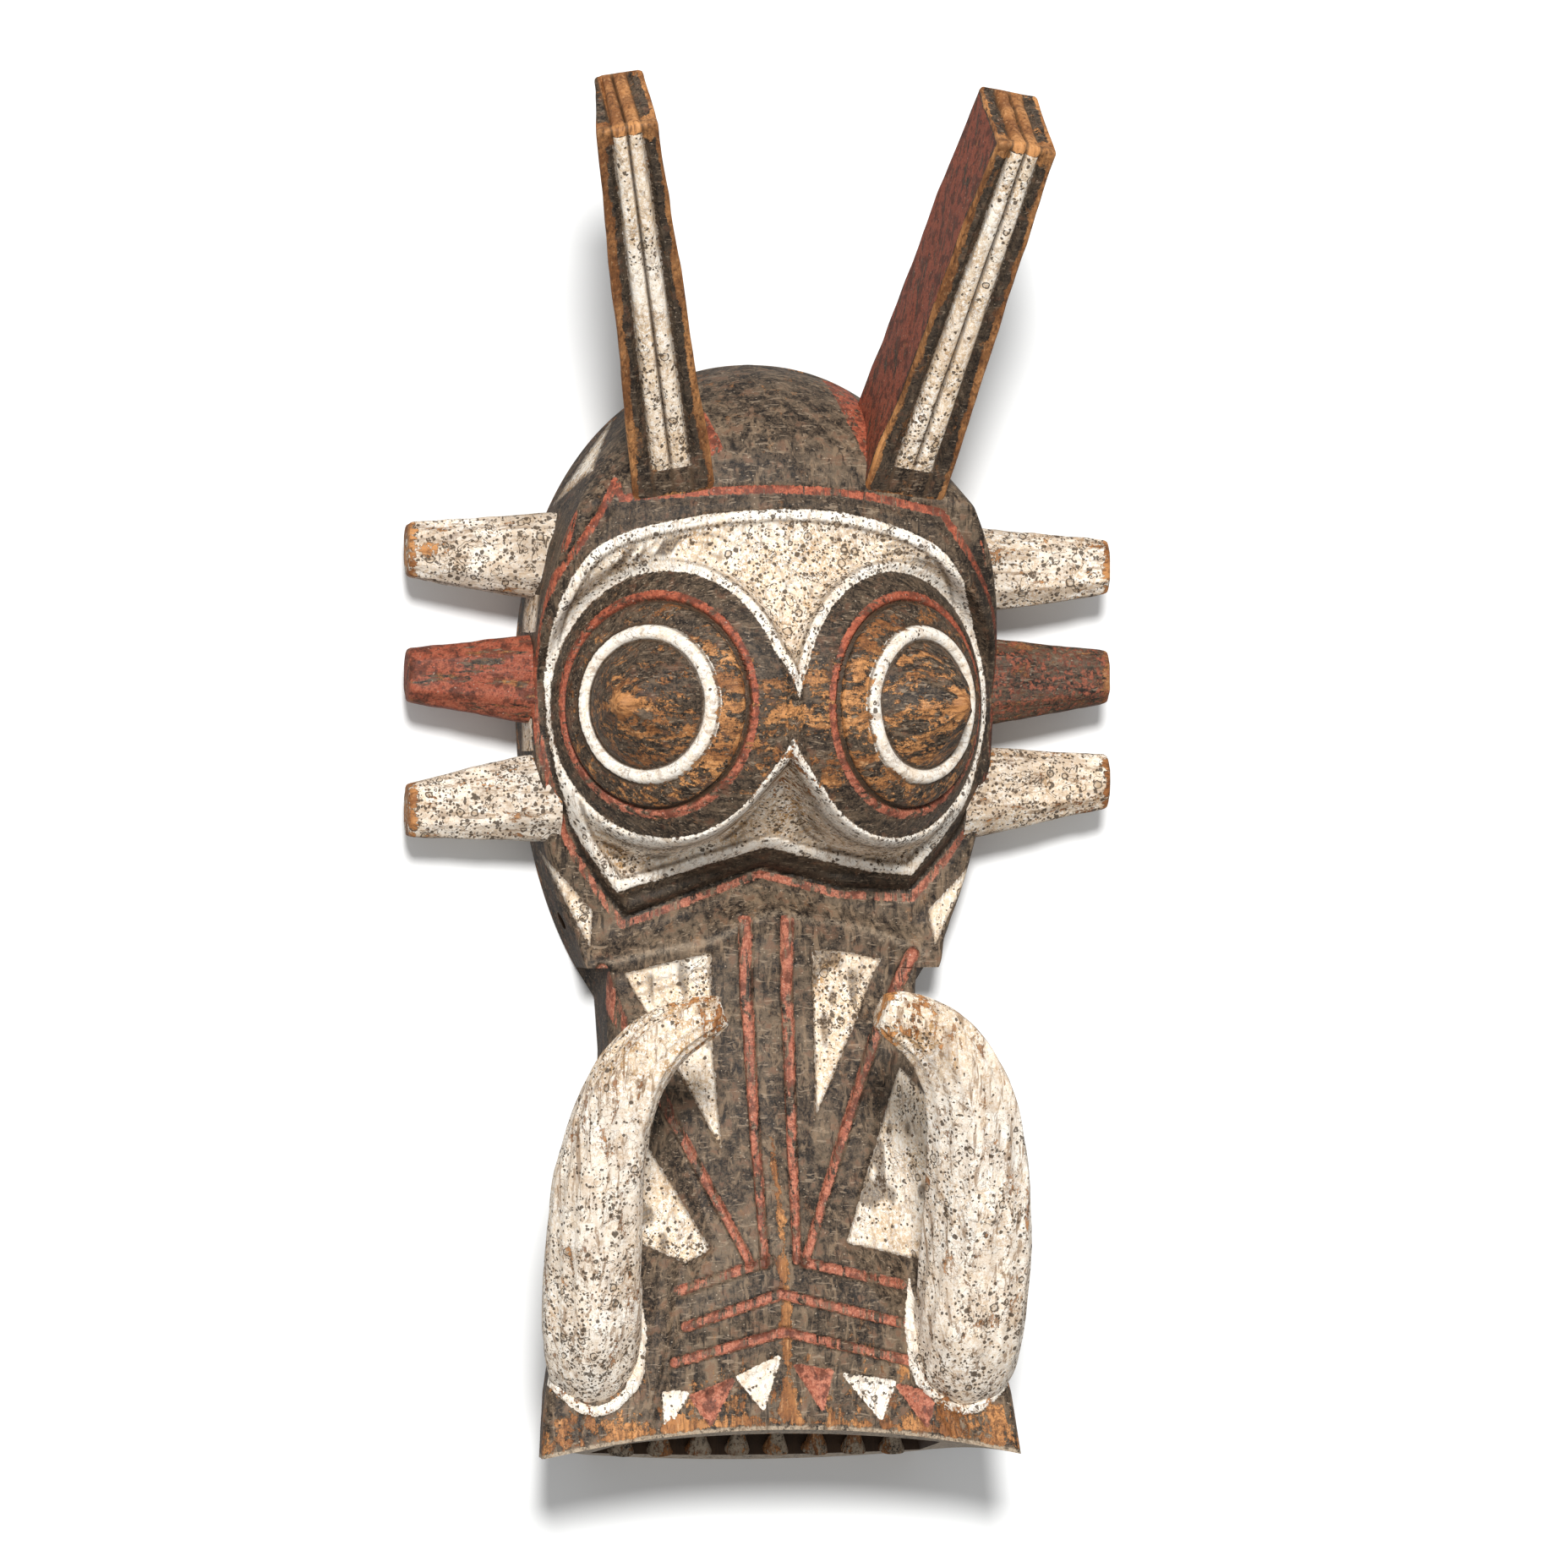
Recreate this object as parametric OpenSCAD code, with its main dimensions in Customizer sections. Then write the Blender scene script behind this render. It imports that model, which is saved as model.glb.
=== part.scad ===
// Carved and painted wooden warthog mask, 0.65 m tall, pegged together from separate carved pieces.
// Frame: +Z up, the face looks along -Y, the back rim lies on the plane y = 0 and x = 0 is the middle.
// The origin is the hanging point, just under the crown on the wall plane. "Depth" means -y.

/* [Head] */
// Half width of the rim oval
rim_half_w = 112.5; // [105:0.5:120]
// Height of the rim oval's widest level
rim_mid_z = -126; // [-130:1:-120]
// Rise of the rim oval above its widest level
rim_up = 148; // [140:1:152]
// Drop of the rim oval below its widest level
rim_down = 190; // [180:1:200]
// Level of the butt joint between head and snout
neck_z = -262; // [-266:1:-258]
// Level of the brow line where the crown starts to curve back
brow_z = -47; // [-50:1:-44]
// Thickness of the rim all round the face opening
rim_wall = 12.5; // [11:0.5:15]
// Drop of the face hollow below the widest level
hollow_down = 124; // [118:1:126]
// Depth of the face hollow as a share of the head's own depth
hollow_share = 0.64; // [0.55:0.01:0.68]

/* [Eyes] */
// How far each eye turns outwards from straight ahead
eye_turn = 38; // [34:1:42]
// Sideways place of an eye's tip
eye_tip_x = 82; // [78:1:86]
// Depth of an eye's tip
eye_tip_depth = 117; // [112:1:120]
// Level of both eyes
eye_z = -139; // [-142:1:-136]
// Height of the turned eye boss above its seat
eye_boss_h = 37; // [33:1:40]
// Radius of the eye boss at its seat
eye_boss_r = 47.3; // [45:0.1:49]
// Radius of the sloping ring carved on the head round the boss
eye_ring_r = 62; // [58:1:64]
// Fall of that ring from the seat to its edge
eye_ring_h = 9; // [5:1:11]

/* [Horns] */
// Sideways place of a horn's front foot, before the pair's offset
horn_foot_x = 57; // [54:1:60]
// Sideways place of a horn's front top edge, before the pair's offset
horn_top_x = 93; // [88:1:97]
// Offset of the pair of horns to the mask's left-hand piece
horn_shift = 5; // [0:1:6]
// Depth of the horn's front foot
horn_foot_depth = 86; // [80:1:90]
// Depth of the horn's front top edge
horn_top_depth = 179; // [170:1:182]
// Level of the horn's front foot
horn_foot_z = -30; // [-36:1:-26]
// Level of the horn's front top edge
horn_top_z = 116; // [110:1:118]
// How much higher the left-hand horn ends
left_horn_rise = 7; // [0:1:10]
// Width of a horn at its foot
horn_foot_w = 38; // [34:1:42]
// Width of a horn at its top
horn_top_w = 29; // [26:1:32]
// How much the left-hand horn's outer side comes in towards its back
left_horn_taper = 6.5; // [0:0.5:8]
// Front to back size of a horn
horn_deep = 54; // [50:1:58]

/* [Lugs] */
// Sideways reach of the lugs
lug_reach = 167; // [160:1:170]
// Height of a lug at its root
lug_root_h = 44; // [40:1:47]
// Height of a lug at its tip
lug_tip_h = 25; // [22:1:28]
// Front to back size of a lug at its root
lug_root_deep = 38; // [34:1:40]
// Front to back size of a lug at its tip
lug_tip_deep = 22; // [18:1:26]
// Depth of the middle of every lug
lug_depth = 22; // [20:1:24]

/* [Snout and jaw] */
// Level where the rebate for the lower jaw starts
jaw_z = -330; // [-336:1:-324]
// Depth of the parting face between snout and lower jaw
jaw_depth = 46; // [42:1:50]
// Level where the mouth hollow ends
mouth_z = -386; // [-392:1:-380]
// Half width of the mouth hollow beside the tusk roots
mouth_half_w = 70; // [64:1:74]
// Number of lower teeth
tooth_count = 8; // [8:1:8]
// Distance between two lower teeth
tooth_pitch = 18.5; // [17:0.5:19]
// Thickness of the left-hand tusk against its centre line's radii
left_tusk_girth = 0.95; // [0.9:0.01:1.15]
// Thickness of the right-hand tusk against its centre line's radii
right_tusk_girth = 1.1; // [0.9:0.01:1.15]
// How much nearer the middle the right-hand tusk stands
right_tusk_inset = 2; // [0:0.5:4]

/* [Joints] */
// Clearance all round a peg or tenon
peg_gap = 0.25; // [0.1:0.05:0.4]
// Radius of the dowels between head and snout
neck_dowel_r = 6; // [5:0.5:7]
// Radius of the dowels between snout and lower jaw
jaw_dowel_r = 4; // [3:0.5:5]
// Radius of the tusk tenons
tusk_tenon_r = 9; // [8:0.5:10]
// Radius of the lug tenons
lug_tenon_r = 9; // [7:0.5:10]
// Radius of the cord holes through the rim
cord_r = 4; // [3:0.5:5]
// Level of the cord holes
cord_z = -240; // [-244:1:-236]
// Depth of the cord holes
cord_depth = 13; // [12:1:14]
// Sideways place where a cord hole leaves its notch in the face hollow
cord_start_x = 64; // [62:1:66]

/* [Hidden] */
$fn = 48;
head_angles = 40;
front_steps = 16;
far = 400;
wood = [0.72, 0.42, 0.18];
cream = [0.90, 0.84, 0.72];
soot = [0.20, 0.17, 0.14];
ochre_red = [0.55, 0.22, 0.15];

// Depth profiles of the head, each a short list of [level, value]
ridge_profile = [[-262, 46], [-240, 43], [-218, 33], [-206, 44], [-185, 76], [-165, 104],
    [-145, 118], [-110, 112], [-75, 98], [-47, 86]];
edge_profile = [[-262, 36], [-240, 33], [-206, 38], [-170, 44], [-126, 47], [-100, 58], [-70, 74], [-47, 78]];
panel_profile = [[-262, 73], [-242, 74], [-206, 92], [-165, 106], [-126, 109], [-86, 106],
    [-55, 86], [-47, 78]];

// Depth and width profiles of the snout, each a short list of [level, value]
nose_profile = [[-488, 96], [-430, 92], [-398, 87], [-339, 66], [-276, 49], [-262, 46]];
cheek_profile = [[-488, 92], [-450, 80], [-420, 64], [-380, 49], [-340, 40], [-300, 38], [-262, 36]];
nose_w_profile = [[-488, 60], [-430, 50], [-398, 30], [-322, 52], [-276, 70], [-262, 71]];
front_w_profile = [[-488, 113], [-460, 110], [-420, 101], [-380, 90], [-340, 80], [-300, 74], [-262, 73]];
back_w_profile = [[-488, 80], [-420, 78], [-340, 74], [-300, 73], [-276, 74.7], [-262, 83.6]];

// Centre line of a tusk from its buried root to its tip: [x, depth, z, radius]
tusk_line = [[88, 66, -456, 15], [89, 80, -446, 22], [90.5, 92, -425, 24.5], [91.5, 104, -390, 23.5],
    [90, 115, -358, 22], [86, 124, -330, 19.5], [77, 133, -307, 17], [64, 139, -292, 14.5],
    [50, 143, -284, 12], [38, 145, -280, 8.5]];

// ---------- shared mathematics ----------

function mix(a, b, t) = a + (b - a) * t;
function unit(v) = v / norm(v);
function flip(p, side) = [side * p[0], p[1], p[2]];

// Superellipse point at angle t, with separate heights above and below
function oval(t, half_w, up, down, n) =
    let (c = cos(t), s = sin(t), h = s > 0 ? up : down)
    [half_w * sign(c) * pow(abs(c), 2 / n), h * sign(s) * pow(abs(s), 2 / n)];

// Level of the rim's top at a sideways place x
function rim_top(x) = rim_mid_z + rim_up * pow(max(0, 1 - pow(abs(x) / rim_half_w, 2.1)), 1 / 2.1);

// Depth of the carved face, flat crown and sides included, before the eyes are added
function panel_depth(x, z) =
    let (w = lookup(z, panel_profile),
         u = min(1, abs(x) / w),
         gable = (sqrt(u * u + 0.02) - 0.14) / 0.87)
    mix(lookup(z, ridge_profile), lookup(z, edge_profile), gable);
function crown_fall(x, z) =
    z <= brow_z ? 1 : sqrt(max(0, 1 - pow((z - brow_z) / (rim_top(x) - brow_z), 2)));
function face_depth(x, z) = panel_depth(x, min(z, brow_z)) * crown_fall(x, z);

// Rings of the head, from the rim inwards; share is 1 at the rim and 0 at the middle
outer_shares = [0.975, 0.93, 0.84, 0.74, 0.63, 0.52, 0.41, 0.3, 0.19, 0.09];
inner_shares = [0.96, 0.88, 0.74, 0.56, 0.36, 0.16];

function outer_ring(share, on_rim) = [for (i = [0:head_angles - 1])
    let (t = 360 * i / head_angles,
         n = t <= 180 ? 2.1 : 2.2,
         p = oval(t, rim_half_w, rim_up, rim_down, n) * share,
         z = rim_mid_z + p[1])
    [p[0], on_rim ? 0 : -face_depth(p[0], z), z]];

function inner_ring(share, on_rim) = [for (i = [0:head_angles - 1])
    let (t = 360 * i / head_angles,
         n = t <= 180 ? 2.1 : 4,
         p = oval(t, rim_half_w - rim_wall, rim_up - rim_wall, hollow_down, n) * share,
         z = rim_mid_z + p[1])
    [p[0], on_rim ? 0 : -hollow_share * face_depth(p[0] * 1.05, z) * (1 - 0.35 * pow(share, 6)), z]];

// Side faces between consecutive rings of a closed stack; rings run front to back in the list
function band_faces(count, n) = [for (k = [0:count - 2], i = [0:n - 1])
    let (j = (i + 1) % n, a = k * n, b = (k + 1) * n)
    each [[a + i, b + j, a + j], [a + i, b + i, b + j]]];

// Closed solid from a list of rings with the same number of points, capped from two pole points
module ring_stack(rings, first_pole, last_pole) {
    n = len(rings[0]);
    count = len(rings);
    points = concat([for (r = rings) each r], [first_pole, last_pole]);
    low = count * n;
    top = low + 1;
    end = (count - 1) * n;
    first_cap = [for (i = [0:n - 1]) [low, i, (i + 1) % n]];
    last_cap = [for (i = [0:n - 1]) [top, end + (i + 1) % n, end + i]];
    polyhedron(points = points, faces = concat(band_faces(count, n), first_cap, last_cap), convexity = 8);
}

// ---------- head ----------

module head_block() {
    rings = concat([outer_ring(1, true)], [for (s = outer_shares) outer_ring(s, false)]);
    ring_stack(rings, [0, 0, rim_mid_z], [0, -face_depth(0, rim_mid_z), rim_mid_z]);
}

module head_hollow() {
    rings = concat([[for (p = inner_ring(1, true)) [p[0], 5, p[2]]]],
        [for (s = inner_shares) inner_ring(s, false)]);
    bottom = -hollow_share * face_depth(0, rim_mid_z);
    ring_stack(rings, [0, 5, rim_mid_z], [0, bottom, rim_mid_z]);
}

// Places a child with its local +Z along the outward axis of one eye, z = 0 at the eye's tip
module at_eye(side) {
    translate([side * eye_tip_x, -eye_tip_depth, eye_z])
        rotate([90, 0, side * eye_turn])
            children();
}

module eye_mound(side) {
    at_eye(side) {
        translate([0, 0, -eye_boss_h - eye_ring_h])
            cylinder(h = eye_ring_h, r1 = eye_ring_r, r2 = eye_boss_r + 1.7);
        translate([0, 0, -eye_boss_h - eye_ring_h - 14])
            cylinder(h = 14, r1 = eye_ring_r - 8, r2 = eye_ring_r);
    }
}

module eye_spigot(side, gap) {
    at_eye(side)
        translate([0, 0, -eye_boss_h - 16 - gap])
            cylinder(h = 16 + gap, r = 11 + gap);
}

// The head's outer form, with nothing hollowed out and no joint cut in it
module head_outer() {
    difference() {
        union() {
            head_block();
            for (side = [-1, 1]) {
                eye_mound(side);
            }
        }
        translate([-far / 2, -far / 2, neck_z - far])
            cube([far, far, far]);
    }
}

module cord_hole(side) {
    translate([side * (cord_start_x - 1), -cord_depth, cord_z])
        rotate([0, side * 90, 0])
            cylinder(h = 60, r = cord_r);
    cord_notch(side);
}

// Square notch in the hollow's lower corner that gives the cord hole a clean inner end
module cord_notch(side) {
    notch_h = 2 * cord_r + 2;
    notch_w = 34;
    notch_x = side < 0 ? -cord_start_x : cord_start_x - notch_w;
    translate([notch_x, -cord_depth - cord_r - 1, cord_z - notch_h / 2])
        cube([notch_w, cord_depth + cord_r + 6, notch_h]);
}

module head_shell() {
    color(soot)
    difference() {
        head_outer();
        head_hollow();
        for (side = [-1, 1]) {
            eye_spigot(side, peg_gap);
            horn_tenon(side, peg_gap);
            cord_hole(side);
            for (k = [0:2]) {
                lug_tenon(side, k, peg_gap);
            }
            neck_dowel(side, peg_gap);
        }
    }
}

// ---------- horns ----------

function horn_foot(side) = [side * horn_foot_x + horn_shift, -horn_foot_depth, horn_foot_z];
function horn_top(side) =
    [side * horn_top_x + horn_shift, -horn_top_depth, horn_top_z + (side < 0 ? left_horn_rise : 0)];
function horn_length(side) = norm(horn_top(side) - horn_foot(side));

// How far a horn's plank reaches below its front foot, inside the head, and its half width there
horn_buried = 34;
// Cut-off corner at each side of a horn's top
horn_corner = 2;
function horn_low_w(length) = horn_foot_w / 2 + (horn_foot_w - horn_top_w) / 2 / length * horn_buried;

// Places a child in the horn's frame: +Z up the horn, +Y backwards through it, origin at the front foot
module at_horn(side) {
    up = unit(horn_top(side) - horn_foot(side));
    across = unit([1, 0, 0] - up[0] * up);
    back = cross(up, across);
    foot = horn_foot(side);
    multmatrix([[across[0], back[0], up[0], foot[0]],
                [across[1], back[1], up[1], foot[1]],
                [across[2], back[2], up[2], foot[2]]])
        children();
}

// A plank that narrows from foot to top, with two ribs and a groove cut along its front and its end
module horn_plank(length) {
    low_w = horn_low_w(length);
    rotate([90, 0, 0])
        translate([0, 0, -horn_deep])
            linear_extrude(horn_deep)
                polygon([[-low_w, -horn_buried], [low_w, -horn_buried],
                    [horn_top_w / 2, length - horn_corner], [horn_top_w / 2 - horn_corner, length],
                    [horn_corner - horn_top_w / 2, length], [-horn_top_w / 2, length - horn_corner]]);
}

// Wedge taken off the left-hand horn's outer side, so that the horn narrows towards its back
module horn_taper_wedge(length) {
    slice = 0.1;
    hull() {
        translate([-horn_low_w(length), 0, -horn_buried - slice])
            linear_extrude(slice)
                horn_taper_outline();
        translate([-horn_top_w / 2, 0, length])
            linear_extrude(slice)
                horn_taper_outline();
    }
}

module horn_taper_outline() {
    past = 2;
    polygon([[-past, -past], [0, 0], [left_horn_taper, horn_deep],
        [left_horn_taper, horn_deep + past], [-past, horn_deep + past]]);
}

module horn_grooves(length) {
    for (x = [-5.5, 0, 5.5]) {
        translate([x - 1, -1, 18])
            cube([2, 2.2, far]);
        translate([x - 1, -1, length - 1.5])
            cube([2, far, 5]);
    }
}

module horn_tenon(side, gap) {
    at_horn(side)
        translate([-10 - gap, 5 - gap, -20 - gap])
            cube([20 + 2 * gap, 18 + 2 * gap, 40]);
}

module horn(side) {
    difference() {
        at_horn(side)
            difference() {
                horn_plank(horn_length(side));
                horn_grooves(horn_length(side));
                if (side < 0)
                    horn_taper_wedge(horn_length(side));
            }
        head_outer();
    }
    horn_tenon_tongue(side);
}

// The part of the tenon that lies inside the head, joined to the horn above it
module horn_tenon_tongue(side) {
    intersection() {
        horn_tenon(side, 0);
        at_horn(side)
            horn_plank(horn_length(side));
    }
}

module left_horn() {
    color(soot)
        horn(-1);
}

module right_horn() {
    color(soot)
        horn(1);
}

// ---------- eyes ----------

module eye_boss(side) {
    at_eye(side) {
        translate([0, 0, -eye_boss_h])
            rotate_extrude()
                polygon([[0, 0], [eye_boss_r, 0], [eye_boss_r, 2.5], [44, 5.5], [38.5, 8.2], [36.5, 8.8],
                    [35.5, 10.8], [32, 11.2], [30, 9.6], [26, 14.5], [19, 21.5], [11, 29],
                    [5.5, 34.5], [2.5, 36.6], [0, 37]]);
        translate([0, 0, -eye_boss_h - 16])
            cylinder(h = 16.5, r = 11);
    }
}

module left_eye_boss() {
    color(wood)
        eye_boss(-1);
}

module right_eye_boss() {
    color(wood)
        eye_boss(1);
}

// ---------- side lugs ----------

// Levels of each lug's root and tip, from upper to lower, for the two sides
function lug_levels(side, k) = side < 0
    ? [[-70, -66.5], [-127, -125], [-180.5, -188]][k]
    : [[-76, -73.5], [-128, -125.5], [-180, -175]][k];
function lug_root_x(k) = [96, 101.5, 101][k];
function lug_start_x(k) = [88, 106, 102.5][k];

// Octagon of a lug's cross-section at sideways place x
function lug_section(x, z, high, deep) =
    let (a = high / 2, b = deep / 2, ca = a * 0.55, cb = b * 0.5)
    [[x, -lug_depth - cb, z + a], [x, -lug_depth + cb, z + a], [x, -lug_depth + b, z + ca],
     [x, -lug_depth + b, z - ca], [x, -lug_depth + cb, z - a], [x, -lug_depth - cb, z - a],
     [x, -lug_depth - b, z - ca], [x, -lug_depth - b, z + ca]];

module lug_bar(side, k) {
    z = lug_levels(side, k);
    inner = lug_start_x(k);
    tip = lug_reach - 2;
    tip_small = 0.86;
    rings = [lug_section(inner, z[0], lug_root_h, lug_root_deep),
        lug_section(tip, z[1], lug_tip_h, lug_tip_deep),
        lug_section(lug_reach, z[1], lug_tip_h * tip_small, lug_tip_deep * tip_small)];
    placed = [for (r = rings) [for (p = side < 0 ? r : [for (i = [7:-1:0]) r[i]]) flip(p, side)]];
    ring_stack(placed, [side * inner, -lug_depth, z[0]], [side * lug_reach, -lug_depth, z[1]]);
}

module lug_tenon(side, k, gap) {
    z = lug_levels(side, k)[0];
    inner = lug_root_x(k) - gap;
    translate([side * inner, -lug_depth, z])
        rotate([0, side * 90, 0])
            cylinder(h = 24, r = lug_tenon_r + gap);
}

module lug(side, k) {
    difference() {
        lug_bar(side, k);
        head_outer();
    }
    lug_tenon(side, k, 0);
}

module left_upper_lug() {
    color(cream)
        lug(-1, 0);
}

module left_middle_lug() {
    color(ochre_red)
        lug(-1, 1);
}

module left_lower_lug() {
    color(cream)
        lug(-1, 2);
}

module right_upper_lug() {
    color(cream)
        lug(1, 0);
}

module right_middle_lug() {
    color(ochre_red)
        lug(1, 1);
}

module right_lower_lug() {
    color(cream)
        lug(1, 2);
}

// ---------- snout and lower jaw ----------

// Level of the mouth's end at a sideways place and depth: the upper lip arches, the lower one hangs
function mouth_end(x, depth) =
    mix(-494.5 + 6 * pow(x / 113, 2), -475 - 13 * pow(x / 113, 2), min(1, max(0, depth / 90)));

// Depth of the snout's front at a share u of its half width, -1 to 1
function snout_front(u, z) =
    let (x = abs(u) * lookup(z, front_w_profile), w = lookup(z, nose_w_profile),
         nose = lookup(z, nose_profile), cheek = lookup(z, cheek_profile))
    x < w ? nose - 3 * x / w
          : mix(nose - 3, cheek, (x - w) / max(1, lookup(z, front_w_profile) - w));

// One cross-section of the snout at share v of its length, as a closed ring
function snout_ring(v) =
    let (z = mix(neck_z, -488, v), fw = lookup(z, front_w_profile), bw = lookup(z, back_w_profile),
         side_depth = lookup(z, cheek_profile),
         front = [for (i = [0:front_steps]) let (u = 2 * i / front_steps - 1) [u * fw, snout_front(u, z)]],
         right = [[mix(bw, fw, 0.93), side_depth * 0.6], [mix(bw, fw, 0.6), side_depth * 0.25]],
         back = [for (i = [3:-1:-3]) [bw * i / 3, 0]],
         left = [[-mix(bw, fw, 0.6), side_depth * 0.25], [-mix(bw, fw, 0.93), side_depth * 0.6]])
    [for (p = concat(front, right, back, left))
        [p[0], -p[1], mix(neck_z, mouth_end(p[0], p[1]), v)]];

module snout_block() {
    steps = 13;
    rings = [for (k = [steps:-1:0]) snout_ring(k / steps)];
    ring_stack(rings, [0, -50, mouth_end(0, 50)], [0, -20, neck_z]);
}

// The mouth hollow, open at the lower end; it widens below the tusk roots
module mouth_hollow() {
    hull() {
        translate([-mouth_half_w + 14, -60, mouth_z])
            cube([2 * mouth_half_w - 28, 38, 10]);
        translate([-mouth_half_w, -74, -462])
            cube([2 * mouth_half_w, 60, 10]);
    }
    hull() {
        translate([-mouth_half_w, -74, -462])
            cube([2 * mouth_half_w, 60, 10]);
        translate([-96, -80, -500])
            cube([192, 30, 4]);
        translate([-68, -80, -500])
            cube([136, 68, 4]);
    }
}

module jaw_region() {
    translate([-far / 2, -jaw_depth, jaw_z - far])
        cube([far, far, far]);
}

module neck_dowel(side, gap) {
    translate([side * 60, -18, neck_z - 14 - gap])
        cylinder(h = 28 + 2 * gap, r = neck_dowel_r + gap);
}

module neck_dowels() {
    color(wood)
        for (side = [-1, 1]) {
            neck_dowel(side, 0);
        }
}

// The four dowels that hold the lower jaw: [x, z] of each on one side
jaw_dowel_places = [[44, -352], [84, -412]];

module jaw_dowel(side, place, gap) {
    translate([side * place[0], -jaw_depth + 12 + gap, place[1]])
        rotate([90, 0, 0])
            cylinder(h = 24 + 2 * gap, r = jaw_dowel_r + gap);
}

module jaw_dowels() {
    color(wood)
        for (side = [-1, 1]) {
            for (place = jaw_dowel_places) {
                jaw_dowel(side, place, 0);
            }
        }
}

module all_jaw_dowel_holes() {
    for (side = [-1, 1]) {
        for (place = jaw_dowel_places) {
            jaw_dowel(side, place, peg_gap);
        }
    }
}

module snout() {
    color(soot)
    difference() {
        snout_block();
        jaw_region();
        mouth_hollow();
        all_jaw_dowel_holes();
        for (side = [-1, 1]) {
            neck_dowel(side, peg_gap);
            tusk_tenon(side, peg_gap);
        }
    }
}

module lower_jaw() {
    color(soot)
    difference() {
        intersection() {
            snout_block();
            jaw_region();
        }
        mouth_hollow();
        all_jaw_dowel_holes();
    }
}

// A small four-sided tooth standing on the jaw's inner lip
module tooth() {
    rotate([28, 0, 0])
        cylinder(h = 14, r1 = 6.5, r2 = 0.6, $fn = 4);
}

module lower_teeth() {
    color(cream)
        difference() {
            for (i = [0:tooth_count - 1]) {
                translate([(i - (tooth_count - 1) / 2) * tooth_pitch, -15.5, -492])
                    tooth();
            }
            lower_jaw_inner();
        }
}

// What the teeth stand on: the jaw's wall behind the mouth hollow
module lower_jaw_inner() {
    difference() {
        translate([-far / 2, -30, -520])
            cube([far, 60, 80]);
        mouth_hollow();
    }
}

// ---------- tusks ----------

function tusk_point(k) = [tusk_line[k][0], -tusk_line[k][1], tusk_line[k][2]];
function tusk_heading(k) =
    unit(tusk_point(min(k + 1, len(tusk_line) - 1)) - tusk_point(max(k - 1, 0)));

// Ring of a tusk at station k, round its own centre line
function tusk_ring(k, n, girth) =
    let (ahead = tusk_heading(k), across = unit(cross([0, 1, 0], ahead)), up = cross(ahead, across),
         r = girth * tusk_line[k][3])
    [for (i = [0:n - 1]) tusk_point(k) + r * (cos(360 * i / n) * across + 0.92 * sin(360 * i / n) * up)];

module tusk_body(girth) {
    n = 14;
    last = len(tusk_line) - 1;
    rings = [for (k = [0:last]) tusk_ring(k, n, girth)];
    ring_stack(rings, tusk_point(0), tusk_point(last));
}

module tusk_tenon(side, gap) {
    translate([side * 88, -50, -438])
        rotate([90, 0, 0])
            cylinder(h = 36, r = tusk_tenon_r + gap);
}

module tusk(side) {
    difference() {
        if (side < 0)
            mirror([1, 0, 0])
                tusk_body(left_tusk_girth);
        else
            translate([-right_tusk_inset, 0, 0])
                tusk_body(right_tusk_girth);
        snout_block();
    }
    tusk_tenon(side, 0);
}

module left_tusk() {
    color(cream)
        tusk(-1);
}

module right_tusk() {
    color(cream)
        tusk(1);
}

// ---------- assembly ----------

head_shell();
snout();
lower_jaw();
lower_teeth();
left_horn();
right_horn();
left_eye_boss();
right_eye_boss();
left_tusk();
right_tusk();
left_upper_lug();
left_middle_lug();
left_lower_lug();
right_upper_lug();
right_middle_lug();
right_lower_lug();
neck_dowels();
jaw_dowels();
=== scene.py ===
"""Looks of a carved and painted wooden warthog mask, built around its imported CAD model.

Lengths in this script are millimetres in the CAD's frame, with "depth" D = -y, until a mesh is written.
"""
import math
from types import SimpleNamespace

import bmesh
import bpy
import numpy as np
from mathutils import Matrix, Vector


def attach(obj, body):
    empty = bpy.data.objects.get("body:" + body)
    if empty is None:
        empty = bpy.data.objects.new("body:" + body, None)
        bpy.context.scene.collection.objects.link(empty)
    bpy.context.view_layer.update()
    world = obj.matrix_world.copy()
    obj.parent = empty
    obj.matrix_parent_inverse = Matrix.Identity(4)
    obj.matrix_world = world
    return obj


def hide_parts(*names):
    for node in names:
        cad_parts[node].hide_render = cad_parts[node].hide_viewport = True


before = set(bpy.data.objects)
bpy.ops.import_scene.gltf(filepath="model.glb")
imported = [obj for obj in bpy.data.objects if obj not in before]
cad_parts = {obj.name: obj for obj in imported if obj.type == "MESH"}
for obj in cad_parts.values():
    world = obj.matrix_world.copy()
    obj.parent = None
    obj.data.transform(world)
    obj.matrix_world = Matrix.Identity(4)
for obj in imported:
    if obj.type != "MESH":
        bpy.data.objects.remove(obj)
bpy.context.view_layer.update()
scene = bpy.context.scene

# ---------- the CAD model's main sizes ----------
RIM_HALF_W, RIM_MID_Z, RIM_UP, RIM_DOWN = 112.5, -126.0, 148.0, 190.0
NECK_Z, BROW_Z, RIM_WALL = -262.0, -47.0, 12.5
HOLLOW_DOWN, HOLLOW_SHARE = 124.0, 0.64
OVAL_POWER, JAW_POWER = 2.1, 2.2
RIDGE = [(-262, 46), (-240, 43), (-218, 33), (-206, 44), (-185, 76), (-165, 104), (-145, 118),
         (-110, 112), (-75, 98), (-47, 86)]
EDGE = [(-262, 36), (-240, 33), (-206, 38), (-170, 44), (-126, 47), (-100, 58), (-70, 74), (-47, 78)]
PANEL = [(-262, 73), (-242, 74), (-206, 92), (-165, 106), (-126, 109), (-86, 106), (-55, 86), (-47, 78)]
EYE_TURN = math.radians(38)
EYE_TIP = (82.0, 117.0, -139.0)
EYE_BOSS_H, EYE_RING_H = 37.0, 9.0
NOSE = [(-488, 96), (-430, 92), (-398, 87), (-339, 66), (-276, 49), (-262, 46)]
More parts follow.
